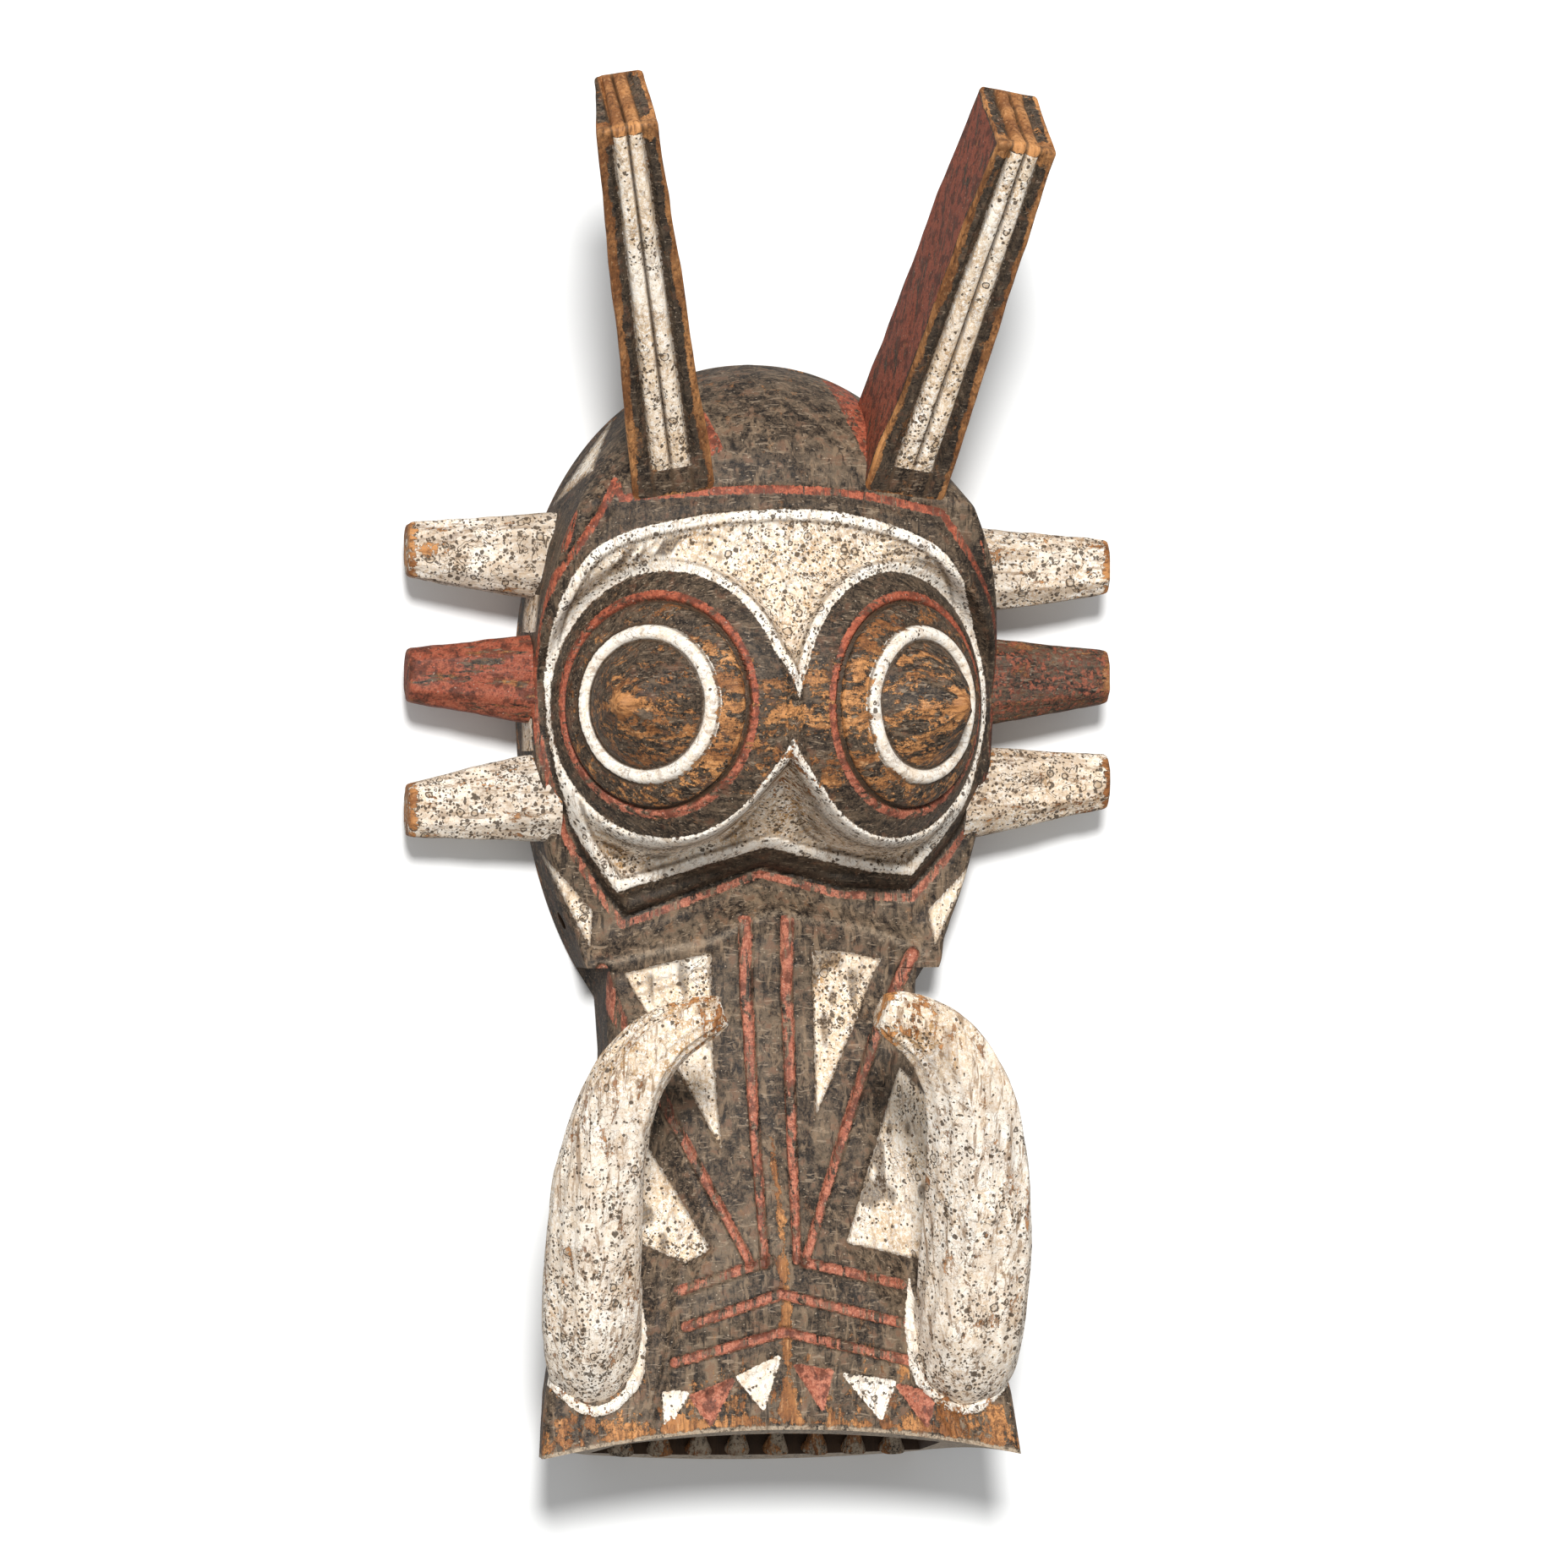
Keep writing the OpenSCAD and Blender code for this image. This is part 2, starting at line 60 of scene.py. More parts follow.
CHEEK = [(-488, 92), (-450, 80), (-420, 64), (-380, 49), (-340, 40), (-300, 38), (-262, 36)]
NOSE_W = [(-488, 60), (-430, 50), (-398, 30), (-322, 52), (-276, 70), (-262, 71)]
FRONT_W = [(-488, 113), (-460, 110), (-420, 101), (-380, 90), (-340, 80), (-300, 74), (-262, 73)]
BACK_W = [(-488, 80), (-420, 78), (-340, 74), (-300, 73), (-276, 74.7), (-262, 83.6)]
TUSK_LINE = [(88, 66, -456, 15), (89, 80, -446, 22), (90.5, 92, -425, 24.5), (91.5, 104, -390, 23.5),
             (90, 115, -358, 22), (86, 124, -330, 19.5), (77, 133, -307, 17), (64, 139, -292, 14.5),
             (50, 143, -284, 12), (38, 145, -280, 8.5)]
# the third slot is near-black wood on faces cut by the cutters, painted shade for the mouth and holes
PAINT, RAW, DARK_SHADE = 0, 1, 2
TUSK_GIRTH = {-1: 0.95, 1: 1.1}
TUSK_INSET = {-1: 0.0, 1: 2.0}
SIDES = {-1: "left", 1: "right"}


# ---------- shared mathematics ----------
def mix(a, b, t):
    return a + (b - a) * t


def ease(low, high, x):
    t = np.clip((x - low) / (high - low), 0, 1)
    return t * t * (3 - 2 * t)


def look(z, table):
    levels, values = zip(*table)
    return np.interp(z, levels, values)


def columns(*parts):
    """Numbers and rows of numbers as one row per point."""
    return np.stack(np.broadcast_arrays(*parts), axis=1)


def noise(p, size, seed):
    """Smooth value noise from -1 to 1 at points p, with features of about that size."""
    q = np.asarray(p, float) / size + seed * 13.7
    cell = np.floor(q).astype(np.int64)
    f = q - cell
    u = f * f * (3 - 2 * f)
    total = np.zeros(len(q))
    for corner in range(8):
        step = np.array([corner & 1, corner >> 1 & 1, corner >> 2 & 1])
        c = cell + step
        h = (c[:, 0] * 73856093) ^ (c[:, 1] * 19349663) ^ (c[:, 2] * 83492791) ^ (seed * 26544357)
        h = ((h ^ (h >> 13)) * 1274126177) & 0xFFFFFFFF
        value = ((h ^ (h >> 15)) & 0xFFFF) / 32767.5 - 1
        weight = np.prod(np.where(step == 1, u, 1 - u), axis=1)
        total += value * weight
    return total


def layered(p, size, seed, layers=3):
    return sum(noise(p, size / 2 ** k, seed + k) / 2 ** k for k in range(layers))


def soften(points, rounds=3):
    """Rounds the corners of an open line, keeping its two ends."""
    pts = np.array(points, float)
    for _ in range(rounds):
        a, b = pts[:-1], pts[1:]
        cut = np.empty((2 * len(a), pts.shape[1]))
        cut[0::2] = mix(a, b, 0.25)
        cut[1::2] = mix(a, b, 0.75)
        pts = np.vstack([pts[:1], cut[1:-1], pts[-1:]])
    return pts


def spaced(line, count, measured=None):
    """The same open line with evenly spaced points, and their places along it."""
    line = np.array(line, float)
    lengths = np.linalg.norm(np.diff(line[:, :measured], axis=0), axis=1)
    run = np.concatenate([[0], np.cumsum(lengths)])
    even = np.linspace(0, run[-1], count)
    return columns(*(np.interp(even, run, c) for c in line.T)), even


def squared(c, n):
    """Cosine or sine for an oval of power n instead of a circle."""
    return np.sign(c) * np.abs(c) ** (2 / n)


def line_gap(x, z, points):
    """Distance to an open line."""
    best = np.full(x.shape, 1e9)
    for a, b in zip(points[:-1], points[1:]):
        dx, dz = b[0] - a[0], b[1] - a[1]
        size = dx * dx + dz * dz
        t = np.clip(((x - a[0]) * dx + (z - a[1]) * dz) / max(size, 1e-9), 0, 1)
        best = np.minimum(best, np.hypot(x - a[0] - t * dx, z - a[1] - t * dz))
    return best


def area_gap(x, z, points):
    """Distance to a closed outline, positive inside."""
    ring = list(points) + [points[0]]
    within = np.zeros(x.shape, bool)
    for a, b in zip(ring[:-1], ring[1:]):
        if a[1] == b[1]:
            continue
        crosses = (z < a[1]) != (z < b[1])
        within ^= crosses & (x < (b[0] - a[0]) * (z - a[1]) / (b[1] - a[1]) + a[0])
    gap = line_gap(x, z, ring)
    return np.where(within, gap, -gap)


def dome(t):
    """1 at t = 0 and 0 at t = 1 and beyond, round on top."""
    return np.sqrt(np.clip(1 - t * t, 0, 1))


def nearest(x, z, lines):
    return np.minimum.reduce([line_gap(x, z, line) for line in lines])


def inside_any(x, z, outlines):
    return highest(*(area_gap(x, z, outline) for outline in outlines))


def highest(*parts):
    return np.maximum.reduce(parts)


def blob(x, z, x0, z0, wide, high):
    """A soft spot, 1 in its middle."""
    return np.exp(-((x - x0) / wide) ** 2 - ((z - z0) / high) ** 2)


# ---------- carved and painted layout of the front, as lines in x and z ----------
SHIELD_SIDE = soften([(-70, -226.6), (-84.9, -206.6), (-93.9, -191.7), (-102, -160), (-105.7, -129),
                      (-103, -94), (-91.3, -70.7), (-77.9, -60.1), (-42, -51.0), (5.6, -47.5),
                      (34, -50.3), (58.5, -56.6), (82.7, -69), (96.7, -100), (106.8, -131.6),
                      (103.6, -156.7), (94, -188), (70, -218.8)])
SHIELD = [tuple(p) for p in SHIELD_SIDE] + [(50.7, -217), (-1.1, -205.4)]
RED_SIDE = soften([(-76, -35.5), (-86, -55), (-109, -86.4), (-111, -125.7), (-106, -165), (-92, -206.6),
                   (-66, -242)])
RED_TOP = soften([(-74, -43.2), (-40, -40.2), (0.3, -38.5), (40, -41.0), (77.5, -49.5)])
RED_RIGHT = soften([(77.5, -49.5), (98, -78), (110, -108), (109.5, -140), (104, -184.6), (92, -207),
                    (72, -229.4)])
RED_LINES = [RED_SIDE, [(-76, -35.5), (-74, -43.2)], RED_TOP, RED_RIGHT,
             [(-66, -242), (-0.3, -218)], [(-0.3, -218), (37.6, -227.8), (72, -229.4)]]
RED_RING = [*RED_SIDE, (-0.3, -218), (37.6, -227.8), *RED_RIGHT[::-1], *RED_TOP[::-1]]
MUZZLE_RIDGE = soften([(-77, -260), (-50, -254), (-25, -250), (-8, -240), (5, -235), (18, -239),
                       (37, -241), (62, -248), (78, -256)], 2)
BRIDGE = [(2, -137), (5, -127), (8.8, -119), (13.5, -111), (22, -125), (22, -165), (14, -177),
          (6.5, -167), (1.6, -160), (-1, -155), (-3.5, -160), (-8, -167), (-15, -177), (-22, -165),
          (-22, -125), (-11, -111), (-5.5, -119), (-1.2, -127)]
NOSE_GROOVES = [[(-10, -240), (-9.4, -320), (-8.4, -399)], [(10, -239), (8.6, -320), (6.7, -397)]]
CHEEK_GROOVES = [[(-76.8, -263), (-69.6, -285.6), (-51.7, -322), (-15, -398)],
                 [(71, -255.7), (62.7, -272), (50, -294.6), (10.7, -397)]]
CHEVRONS = [[(-48, -410.8), (-5.8, -396.7)], [(11, -398), (58.3, -409)],
            [(-45.7, -427.3), (-1.2, -412.4), (59.6, -427.3)],
            [(-51, -443.8), (0, -430), (64.4, -445)]]
CREAM_TRIANGLES = [[(-66.4, -264.3), (-25.7, -254.5), (-27.0, -300), (-25.2, -345.6)],
                   [(22.2, -253.7), (38, -254.5), (55.6, -258), (20.2, -330.7)],
                   [(-64, -334), (-33, -392), (-44.2, -398), (-57.6, -392), (-84, -380), (-84, -345)],
                   [(62.2, -308), (31.2, -389), (59.7, -396), (86, -400), (86, -330)]]
WHITE_LIPS = [[(-56, -458), (-46, -458), (-55, -474)], [(-21.4, -451), (-3, -442), (-10.3, -464.6)],
              [(29, -450.5), (51.9, -454), (45.5, -469.8)]]
RED_LIPS = [[(-43.5, -459.5), (-24.3, -452), (-35, -472)], [(5.3, -445.8), (22, -448.5), (17.7, -465.4)],
            [(54.2, -455.6), (71.4, -460), (67.4, -473.7)]]
CREASES = [soften([(-46, -391), (-54, -444), (-66, -480)], 2),
           soften([(64, -393), (66, -440), (87, -478)], 2)]
LIP_CRACKS = [[(13, -479), (12.4, -466)], [(18.5, -480), (19.5, -470)], [(-9, -479), (-8, -471)],
              [(25, -480), (25.5, -474)]]
RESIN = [(-58, -474), (-48, -467), (-43, -474), (-47, -482), (-60, -484)]
RIGHT_WEDGE = [(30, 14), (42, 14), (51, -24), (43, -29), (34, -4)]
HORN_WEDGE = [(-33.5, 2), (-25.6, -20.4), (-32.5, -24)]
ROOT_PATCHES = [[(-99, -45), (-92, -47), (-95, -64), (-102, -76), (-104, -62)],
                [(92, -55), (99, -62), (104, -84), (98, -78)]]
NOSE_HALF = [(-400, 2.0), (-300, 2.9), (-240, 3.3)]
CHEEK_HALF = [(-400, 2.2), (-300, 2.7), (-255, 3.4)]
COLLAR_REACH = [(-470, 9.0), (-462, 12.0), (-455, 18.0), (-448, 21.5), (-430, 24.5), (-405, 24.5)]
COLLAR_TOP, SNOUT_TOP, CHEVRON_TOP, CREASE_TOP = -406, -237, -380, -388
EYE_Z, DISC_X, DISC_HALF_W, DISC_HALF_H = EYE_TIP[2], 53.7, 48.9, 62.0
EYE_PROFILE = [(0, 9), (47.2, 9), (47.9, 7.4), (48.7, 7.4), (49.3, 8.6), (50.6, 8.9), (52.2, 8.0),
               (52.9, 7.0), (53.6, 7.2), (57, 4.9), (61.4, 0.9), (62.4, 0), (400, 0)]
NO_PAINT = -9.0


def rim_top(x):
    rise = np.clip(1 - (np.abs(x) / RIM_HALF_W) ** OVAL_POWER, 0, 1) ** (1 / OVAL_POWER)
    return RIM_MID_Z + RIM_UP * rise


def panel_depth(x, z):
    u = np.minimum(1, np.abs(x) / look(z, PANEL))
    gable = (np.sqrt(u * u + 0.02) - 0.14) / 0.87
    return mix(look(z, RIDGE), look(z, EDGE), gable)


def face_depth(x, z):
    top = rim_top(x)
    up = np.clip((z - BROW_Z) / np.maximum(top - BROW_Z, 1e-6), 0, 1)
    return panel_depth(x, np.minimum(z, BROW_Z)) * dome(up)


def mouth_end(x, depth):
    share = np.clip(depth / 90, 0, 1)
    return mix(-494.5 + 6 * (x / 113) ** 2, -475 - 13 * (x / 113) ** 2, share)


def eye_surface(x, z):
    """Depth of the eye's carved disc, and the radius from the eye's axis, for points at x and z."""
    ca, sa = math.cos(EYE_TURN), math.sin(EYE_TURN)
    along = EYE_BOSS_H + EYE_RING_H
    x0, d0, z0 = EYE_TIP[0] - along * sa, EYE_TIP[1] - along * ca, EYE_TIP[2]
    across = np.abs(x) - x0
    depth = d0 - across * sa / ca
    radius = np.zeros_like(depth)
    for _ in range(36):
        radius = np.hypot(z - z0, across * ca - (depth - d0) * sa)
        depth = mix(depth, d0 + (look(radius, EYE_PROFILE) - across * sa) / ca, 0.5)
    return depth, radius


def disc_gap(x, z):
    """Distance to the outline of the eye discs and the bridge between them, positive inside."""
    dx, dz = np.abs(x) - DISC_X, z - EYE_Z
    k = np.maximum(np.hypot(dx / DISC_HALF_W, dz / DISC_HALF_H), 1e-3)
    return np.maximum((1 - k) * np.hypot(dx, dz) / k, area_gap(x, z, BRIDGE))


def collar_gap(x, z):
    """Place on the white bead round the lower edge of each tusk's root, positive on it."""
    wide = 2.9 * ease(COLLAR_TOP, -424, z)
    gaps = []
    for side in SIDES:
        line = [(side * q[0] - TUSK_INSET[side], q[2]) for q in TUSK_LINE[:4]]
        gaps.append(wide - np.abs(line_gap(x, z, line) - look(z, COLLAR_REACH) * TUSK_GIRTH[side]))
    return np.where(z < COLLAR_TOP, np.maximum(*gaps), -1e3)


def gouge_strokes(x, z, g):
    """Shallow strokes that follow the discs across the cream panel and slant in its upper left corner."""
    a = np.abs(x)
    wave = g.disc / 4.2 + 1.3 * noise(g.p, 24, 23)
    turn = np.arctan2(z - EYE_Z, a - DISC_X)
    broken = ease(-0.12, 0.22, noise(columns(g.disc / 3.0, turn * 6, 0), 1.0, 21))
    panel = ease(6, 9, g.shield) * ease(5, 8, -g.disc)
    curved = dome((wave - np.round(wave)) / 0.27) * broken * panel
    curved *= 0.35 + 0.65 * highest(ease(-20, -45, x), ease(40, 60, x), g.low)
    slant = noise(columns((a * 0.80 + z * 0.60) / 1.9, (z * 0.80 - a * 0.60) / 15, 0), 1.0, 25)
    corner = panel * ease(-30, -50, x) * ease(-112, -98, z)
    return np.maximum(curved * (1 - 0.7 * corner), ease(0.10, 0.38, slant) * corner)


def measure(x, z):
    """Distances to all that is carved or painted on the front, positive inside outlines."""
    p = columns(x, 0, z)
    wob = noise(p, 11, 5) * 0.45 + noise(p, 4, 6) * 0.2
    g = SimpleNamespace(p=p, wob=wob, low=ease(-165, -205, z), on_snout=z < SNOUT_TOP)
    g.shield = area_gap(x, z, SHIELD) + wob
    g.disc = disc_gap(x, z) + wob * 0.5
    g.on_shield = (g.shield > 0) & (g.disc < 0)
    g.ring = area_gap(x, z, RED_RING) + wob * 0.5
    g.red_gap = nearest(x, z, RED_LINES) + wob * 0.6
    g.undercut = dome((g.ring - 3.3) / 1.3) * (0.25 + 0.75 * g.low)
    g.ridge_gap = line_gap(x, z, MUZZLE_RIDGE)
    g.strokes = gouge_strokes(x, z, g)
    g.groove = wob * 0.5 + np.maximum(look(z, NOSE_HALF) - nearest(x, z, NOSE_GROOVES),
                                      look(z, CHEEK_HALF) - nearest(x, z, CHEEK_GROOVES))
    g.chevron = 2.5 - nearest(x, z, CHEVRONS) + wob * 0.5
    g.triangle = inside_any(x, z, CREAM_TRIANGLES) + wob * 0.8
    g.first = area_gap(x, z, CREAM_TRIANGLES[0])
    g.second_line = line_gap(x, z, [(-62, -272.5), (-29, -264)])
    g.white_lip = inside_any(x, z, WHITE_LIPS) + 0.9
    g.red_lip = inside_any(x, z, RED_LIPS) + 0.9
    g.chip = np.maximum(g.white_lip, g.red_lip)
    g.crease_gap = nearest(x, z, CREASES)
    g.collar = collar_gap(x, z)
    return g


def carve_panel(g):
    """Face panel: raised round border, dished middle, lip round the discs and a steep wall below."""
    bead = dome((g.shield - 2.3) / 2.9) * (1.3 + 0.8 * g.low)
    lip = dome((g.disc + 2.0) / 2.6) * 1.3 * ease(-6, -1, 6 - np.abs(g.shield - 8))
    dish = -2.0 * ease(4.5, 9, g.shield) * ease(3.5, 8, -g.disc)
    dish -= 0.7 * ease(4.6, 5.6, g.shield) * ease(3.8, 4.8, -g.disc)
    relief = np.where(g.on_shield, np.maximum(bead, lip) + dish, 0)
    relief += 3.0 * g.low * ease(-5, 0, g.shield) * (1 - ease(6, 26, g.shield))
    relief -= (0.9 + 3.8 * g.low) * ease(7.5, 3.0, g.ring) * ease(-34, -16, g.shield)
    relief -= dome(g.red_gap / 2.7) + 1.8 * g.undercut + 0.55 * g.strokes
    return relief + 2.0 * np.exp(-(g.ridge_gap / 6.0) ** 2)


def carve_snout(x, z, g):
    """Snout: red-floored grooves, stepped chevrons, sunk triangles, chips, creases and collars."""
    relief = -2.2 * ease(-0.4, 1.0, g.groove) * g.on_snout
    relief -= 1.7 * ease(-0.3, 0.9, g.chevron) * (z < CHEVRON_TOP) + 0.9 * ease(-0.3, 0.8, g.triangle)
    for line in CHEVRONS[2:]:
        above = z - look(x, line)
        relief += ease(-14, -2, above) * (1 - ease(-2.6, -2.0, above)) * ease(75, 62, np.abs(x - 7))
    relief += np.where(g.first > 0, 0.9 * dome(g.second_line / 1.6) - 0.5 * dome(g.second_line / 4.5), 0)
    relief -= np.clip(0.6 + g.chip * 0.45, 0, 2.2) * (g.chip > -1)
    crease = 0.9 * dome(g.crease_gap / 2.2) - 1.4 * dome((g.crease_gap - 4) / 3.5)
    relief += crease * np.where(x > 0, 1.0, 0.45) * (z < CREASE_TOP)
    return relief + 2.3 * dome(1 - np.clip(g.collar / 2.6, 0, 1)) * (g.collar > 0)


def rubbed_bare(x, z, g):
    """Where the wood shows: the nose ridge, the lip's edge, the corners under the tusks, the bridge."""
    a = np.abs(x)
    mid = look(z, [(-480, 2.0), (-400, 0.5), (-339, -1.5)])
    half = look(z, [(-478, 7), (-455, 3.4), (-400, 2.6), (-350, 1.6), (-335, 0.1)]) + 1.6 * noise(g.p, 7, 33)
    rag = 0.62 + 0.33 * ease(-0.35, 0.25, noise(g.p, 12, 35)) * ease(100, 70, a)
    bare = highest(0.80 * ease(half + 1.2, half - 1.8, np.abs(x - mid)) * ease(-330, -345, z),
                   rag * ease(8.0, 3.5, z - mouth_end(x, 92) + g.wob * 5) * (z < -440),
                   0.56 * ease(64, 76, a) * ease(-462, -470, z),
                   0.66 * ease(27, 12, np.abs(x - 2)) * np.exp(-((z + 146) / 11) ** 2),
                   0.34 * ease(44, 20, a) * ease(-186, -170, z) * ease(-108, -128, z),
                   0.16 * ease(-425, -452, z))
    return np.maximum(bare * (g.chip < -0.3), area_gap(x, z, RESIN) + g.wob * 2 > 0)


def layout(x, z):
    """Relief of the carved front in mm, and where each paint lies, for head and snout alike."""
    g = measure(x, z)
    relief = layered(g.p, 26, 11) * 0.55 + noise(g.p, 6, 14) * 0.12 + carve_panel(g) + carve_snout(x, z, g)
    on_chevrons, on_triangle = z < CHEVRON_TOP, g.triangle > 0
    stain = (0.75 * blob(x, z, 28, -266, 13, 9) + 0.85 * blob(x, z, 45, -352, 7, 18)
             + 0.15 * blob(x, z, -60, -268, 8, 9))
    deep_stain = np.clip(1.1 * ease(0.30, 0.75, stain + 1.1 * noise(g.p * [1, 1, 0.5], 5, 31)), 0, 0.85)
    paint = {
        "cream": highest(np.minimum(g.shield, -g.disc), g.triangle, g.white_lip + 0.3,
                         g.collar + 0.4),
        "red": highest(1.9 - 0.9 * ease(85, 102, x) - g.red_gap,
                       np.where(g.on_snout, g.groove, NO_PAINT),
                       np.where(on_chevrons, g.chevron, NO_PAINT), g.red_lip + 0.3,
                       inside_any(x, z, [HORN_WEDGE, RIGHT_WEDGE]),
                       inside_any(x, z, ROOT_PATCHES) - 2.0),
        "bare": rubbed_bare(x, z, g),
        # painted shade: darkening in the undercut below the shield and on its downward-facing wall at the
        # bottom; also darker lines along the chevron steps, the groove edges and the far right red line
        "grime_and_shade": highest(g.undercut, 0.85 * ease(82, 98, x) * (g.red_gap < 4),
                         0.6 * ease(0, 2, g.ring - 3) * ease(-1, -3, g.shield) * g.low,
                         0.7 * np.exp(-(np.abs(g.chevron + 0.2) / 0.5) ** 2) * on_chevrons,
                         0.5 * np.exp(-(np.abs(g.groove + 0.3) / 0.6) ** 2) * g.on_snout),
        "dust": highest(0.58 * np.exp(-(g.ridge_gap / 4.0) ** 2), np.where(g.ring < 2, 0.34, 0.08),
                        (0.60 * (x > 0) + 0.30 * (x < 0)) * dome(g.crease_gap / 2.0)
                        * (z < CREASE_TOP)),
        # the yellow-brown clouds on the panel thicken towards its downward-facing bottom, a painted shade; on
        # the snout's triangles they follow the stains
        "ochre": (g.on_shield * ease(4, 9, g.shield) * ease(4, 9, -g.disc) * (0.35 + 0.65 * g.low)
                  + 1.3 * stain * on_triangle),
        "soil_and_shade": highest(g.strokes, 0.9 * dome(nearest(x, z, LIP_CRACKS) / 0.8),
                        0.85 * dome((g.shield - 5.6) / 1.0) * g.on_shield,
                        0.7 * dome((g.disc + 5.2) / 0.9) * g.on_shield * ease(6, 12, g.shield),
                        0.8 * dome((g.triangle - 0.2) / 0.7),
                        0.6 * (g.first > 0) * dome((g.second_line - 2.2) / 0.8),
                        deep_stain * (g.triangle > 0.5)),
        # spots lie thickest between and above the eyes and on the snout's cream triangles
        "spots": (g.on_shield * (0.15 + 1.15 * blob(x, z, 12, -95, 34, 38) + 0.35 * ease(20, 70, x)
                                 + 0.5 * blob(x, z, -4, -178, 22, 14)) + (0.15 + 0.6 * stain) * on_triangle),
        # whiter chalk on the white lips; on the raised bead, the lip round the discs and the collars it is
        # partly a painted highlight
        "chalk": 0.75 * highest(g.on_shield * ease(5.2, 4.2, g.shield),
                                g.on_shield * ease(4.6, 3.8, -g.disc),
                                0.8 * (g.white_lip > -0.5), 0.9 * (g.collar > -0.5)),
        "solid": 1.0 * (g.chip > -1)}
    return relief, paint


def head_front(x, z):
    """Depth of the head's carved front, and its paint."""
    relief, paint = layout(x, z)
    disc = disc_gap(x, z)
    eye_depth, radius = eye_surface(x, z)
    depth = mix(face_depth(x, z) + relief, eye_depth + relief * ease(2, -2, disc), ease(-10.5, -0.5, disc))
    inner = disc > -1.5
    paint["red"] = np.where(inner, np.maximum(NO_PAINT, 2.6 - np.abs(radius - 50.4)), paint["red"])
    # painted shadow: a dark line round the foot of each eye boss
    paint["grime_and_shade"] = np.maximum(paint["grime_and_shade"], 0.95 * dome((radius - 48.0) / 1.1) * inner)
    paint["dust"] = paint["dust"] * ~inner
    paint["soil_and_shade"] = np.maximum(paint["soil_and_shade"] * ~inner, 0.9 * dome((radius - 48.0) / 0.8) * inner)
    return depth, paint


# ---------- meshes ----------
def linked(name, data):
    """A new object in the scene."""
    made = bpy.data.objects.new(name, data)
    scene.collection.objects.link(made)
    return made


def tidy_mesh(mesh):
    """Welds doubled points and turns every face outwards."""
    bm = bmesh.new()
    bm.from_mesh(mesh)
    bmesh.ops.remove_doubles(bm, verts=bm.verts, dist=2e-6)
    bmesh.ops.dissolve_degenerate(bm, edges=bm.edges, dist=1e-7)
    bmesh.ops.recalc_face_normals(bm, faces=bm.faces)
    bm.to_mesh(mesh)
    bm.free()


def solid(name, points, faces, slot_index=PAINT):
    """A closed mesh object from points in mm (x, depth, z)."""
    mesh = bpy.data.meshes.new(name)
    mesh.from_pydata((np.asarray(points, float) * [1, -1, 1] / 1000).tolist(), [], faces)
    tidy_mesh(mesh)
    for material in MATERIALS:
        mesh.materials.append(material)
    mesh.polygons.foreach_set("material_index", np.full(len(mesh.polygons), slot_index, np.int32))
    return linked(name, mesh)


def stack_faces(rings, size):
    """Quads between closed rings of the same size, listed one ring after another."""
    i = np.arange(size)
    j = (i + 1) % size
    quads = [np.stack([k * size + i, k * size + j, (k + 1) * size + j, (k + 1) * size + i], axis=1)
             for k in range(rings - 1)]
    return np.vstack(quads).tolist()


def fan(first, size, pole):
    return [[first + i, first + (i + 1) % size, pole] for i in range(size)]


def ring_solid(name, rings, first_pole, last_pole, slot_index=PAINT):
    size, count = len(rings[0]), len(rings)
    points = np.vstack(list(rings) + [np.array([first_pole, last_pole])])
    end = count * size
    faces = stack_faces(count, size) + fan(0, size, end) + fan(end - size, size, end + 1)
    return solid(name, points, faces, slot_index)


def twin(made):
    """A copy of an object, with a mesh of its own."""
    copy = made.copy()
    copy.data = made.data.copy()
    scene.collection.objects.link(copy)
    return copy


def combine(target, tool, operation="DIFFERENCE", keep_tool=False):
    """Cuts target with tool, or keeps what they share, and bakes the result into target's mesh."""
    modifier = target.modifiers.new("cut", "BOOLEAN")
    modifier.operation, modifier.solver, modifier.object = operation, "MANIFOLD", tool
    bpy.context.view_layer.update()
    graph = bpy.context.evaluated_depsgraph_get()
    made = bpy.data.meshes.new_from_object(target.evaluated_get(graph))
    target.modifiers.clear()
    target.data = made
    if not keep_tool:
        bpy.data.objects.remove(tool)


def box_grid(counts):
    """Points on the unit box's six faces in a grid, and the quads between them."""
    index, points, faces = {}, [], []

    def at(key):
        if key not in index:
            index[key] = len(points)
            points.append([key[a] / counts[a] for a in range(3)])
        return index[key]

    for axis in range(3):
        a, b = [k for k in range(3) if k != axis]
        for end in (0, counts[axis]):
            for i in range(counts[a]):
                for j in range(counts[b]):
                    quad = []
                    for di, dj in ((0, 0), (1, 0), (1, 1), (0, 1)):
                        key = [0, 0, 0]
                        key[axis], key[a], key[b] = end, i + di, j + dj
                        quad.append(at(tuple(key)))
                    faces.append(quad if end else quad[::-1])
    return np.array(points), faces


def numbers(items, name, width, kind=float):
    """One row of numbers for each item of a mesh."""
    values = np.empty(len(items) * width, kind)
    items.foreach_get(name, values)
    return values.reshape(-1, width)


def place_of(mesh):
    """Points of a mesh in mm: x, depth and z."""
    x, y, z = numbers(mesh.vertices, "co", 3).T * 1000
    return x, -y, z


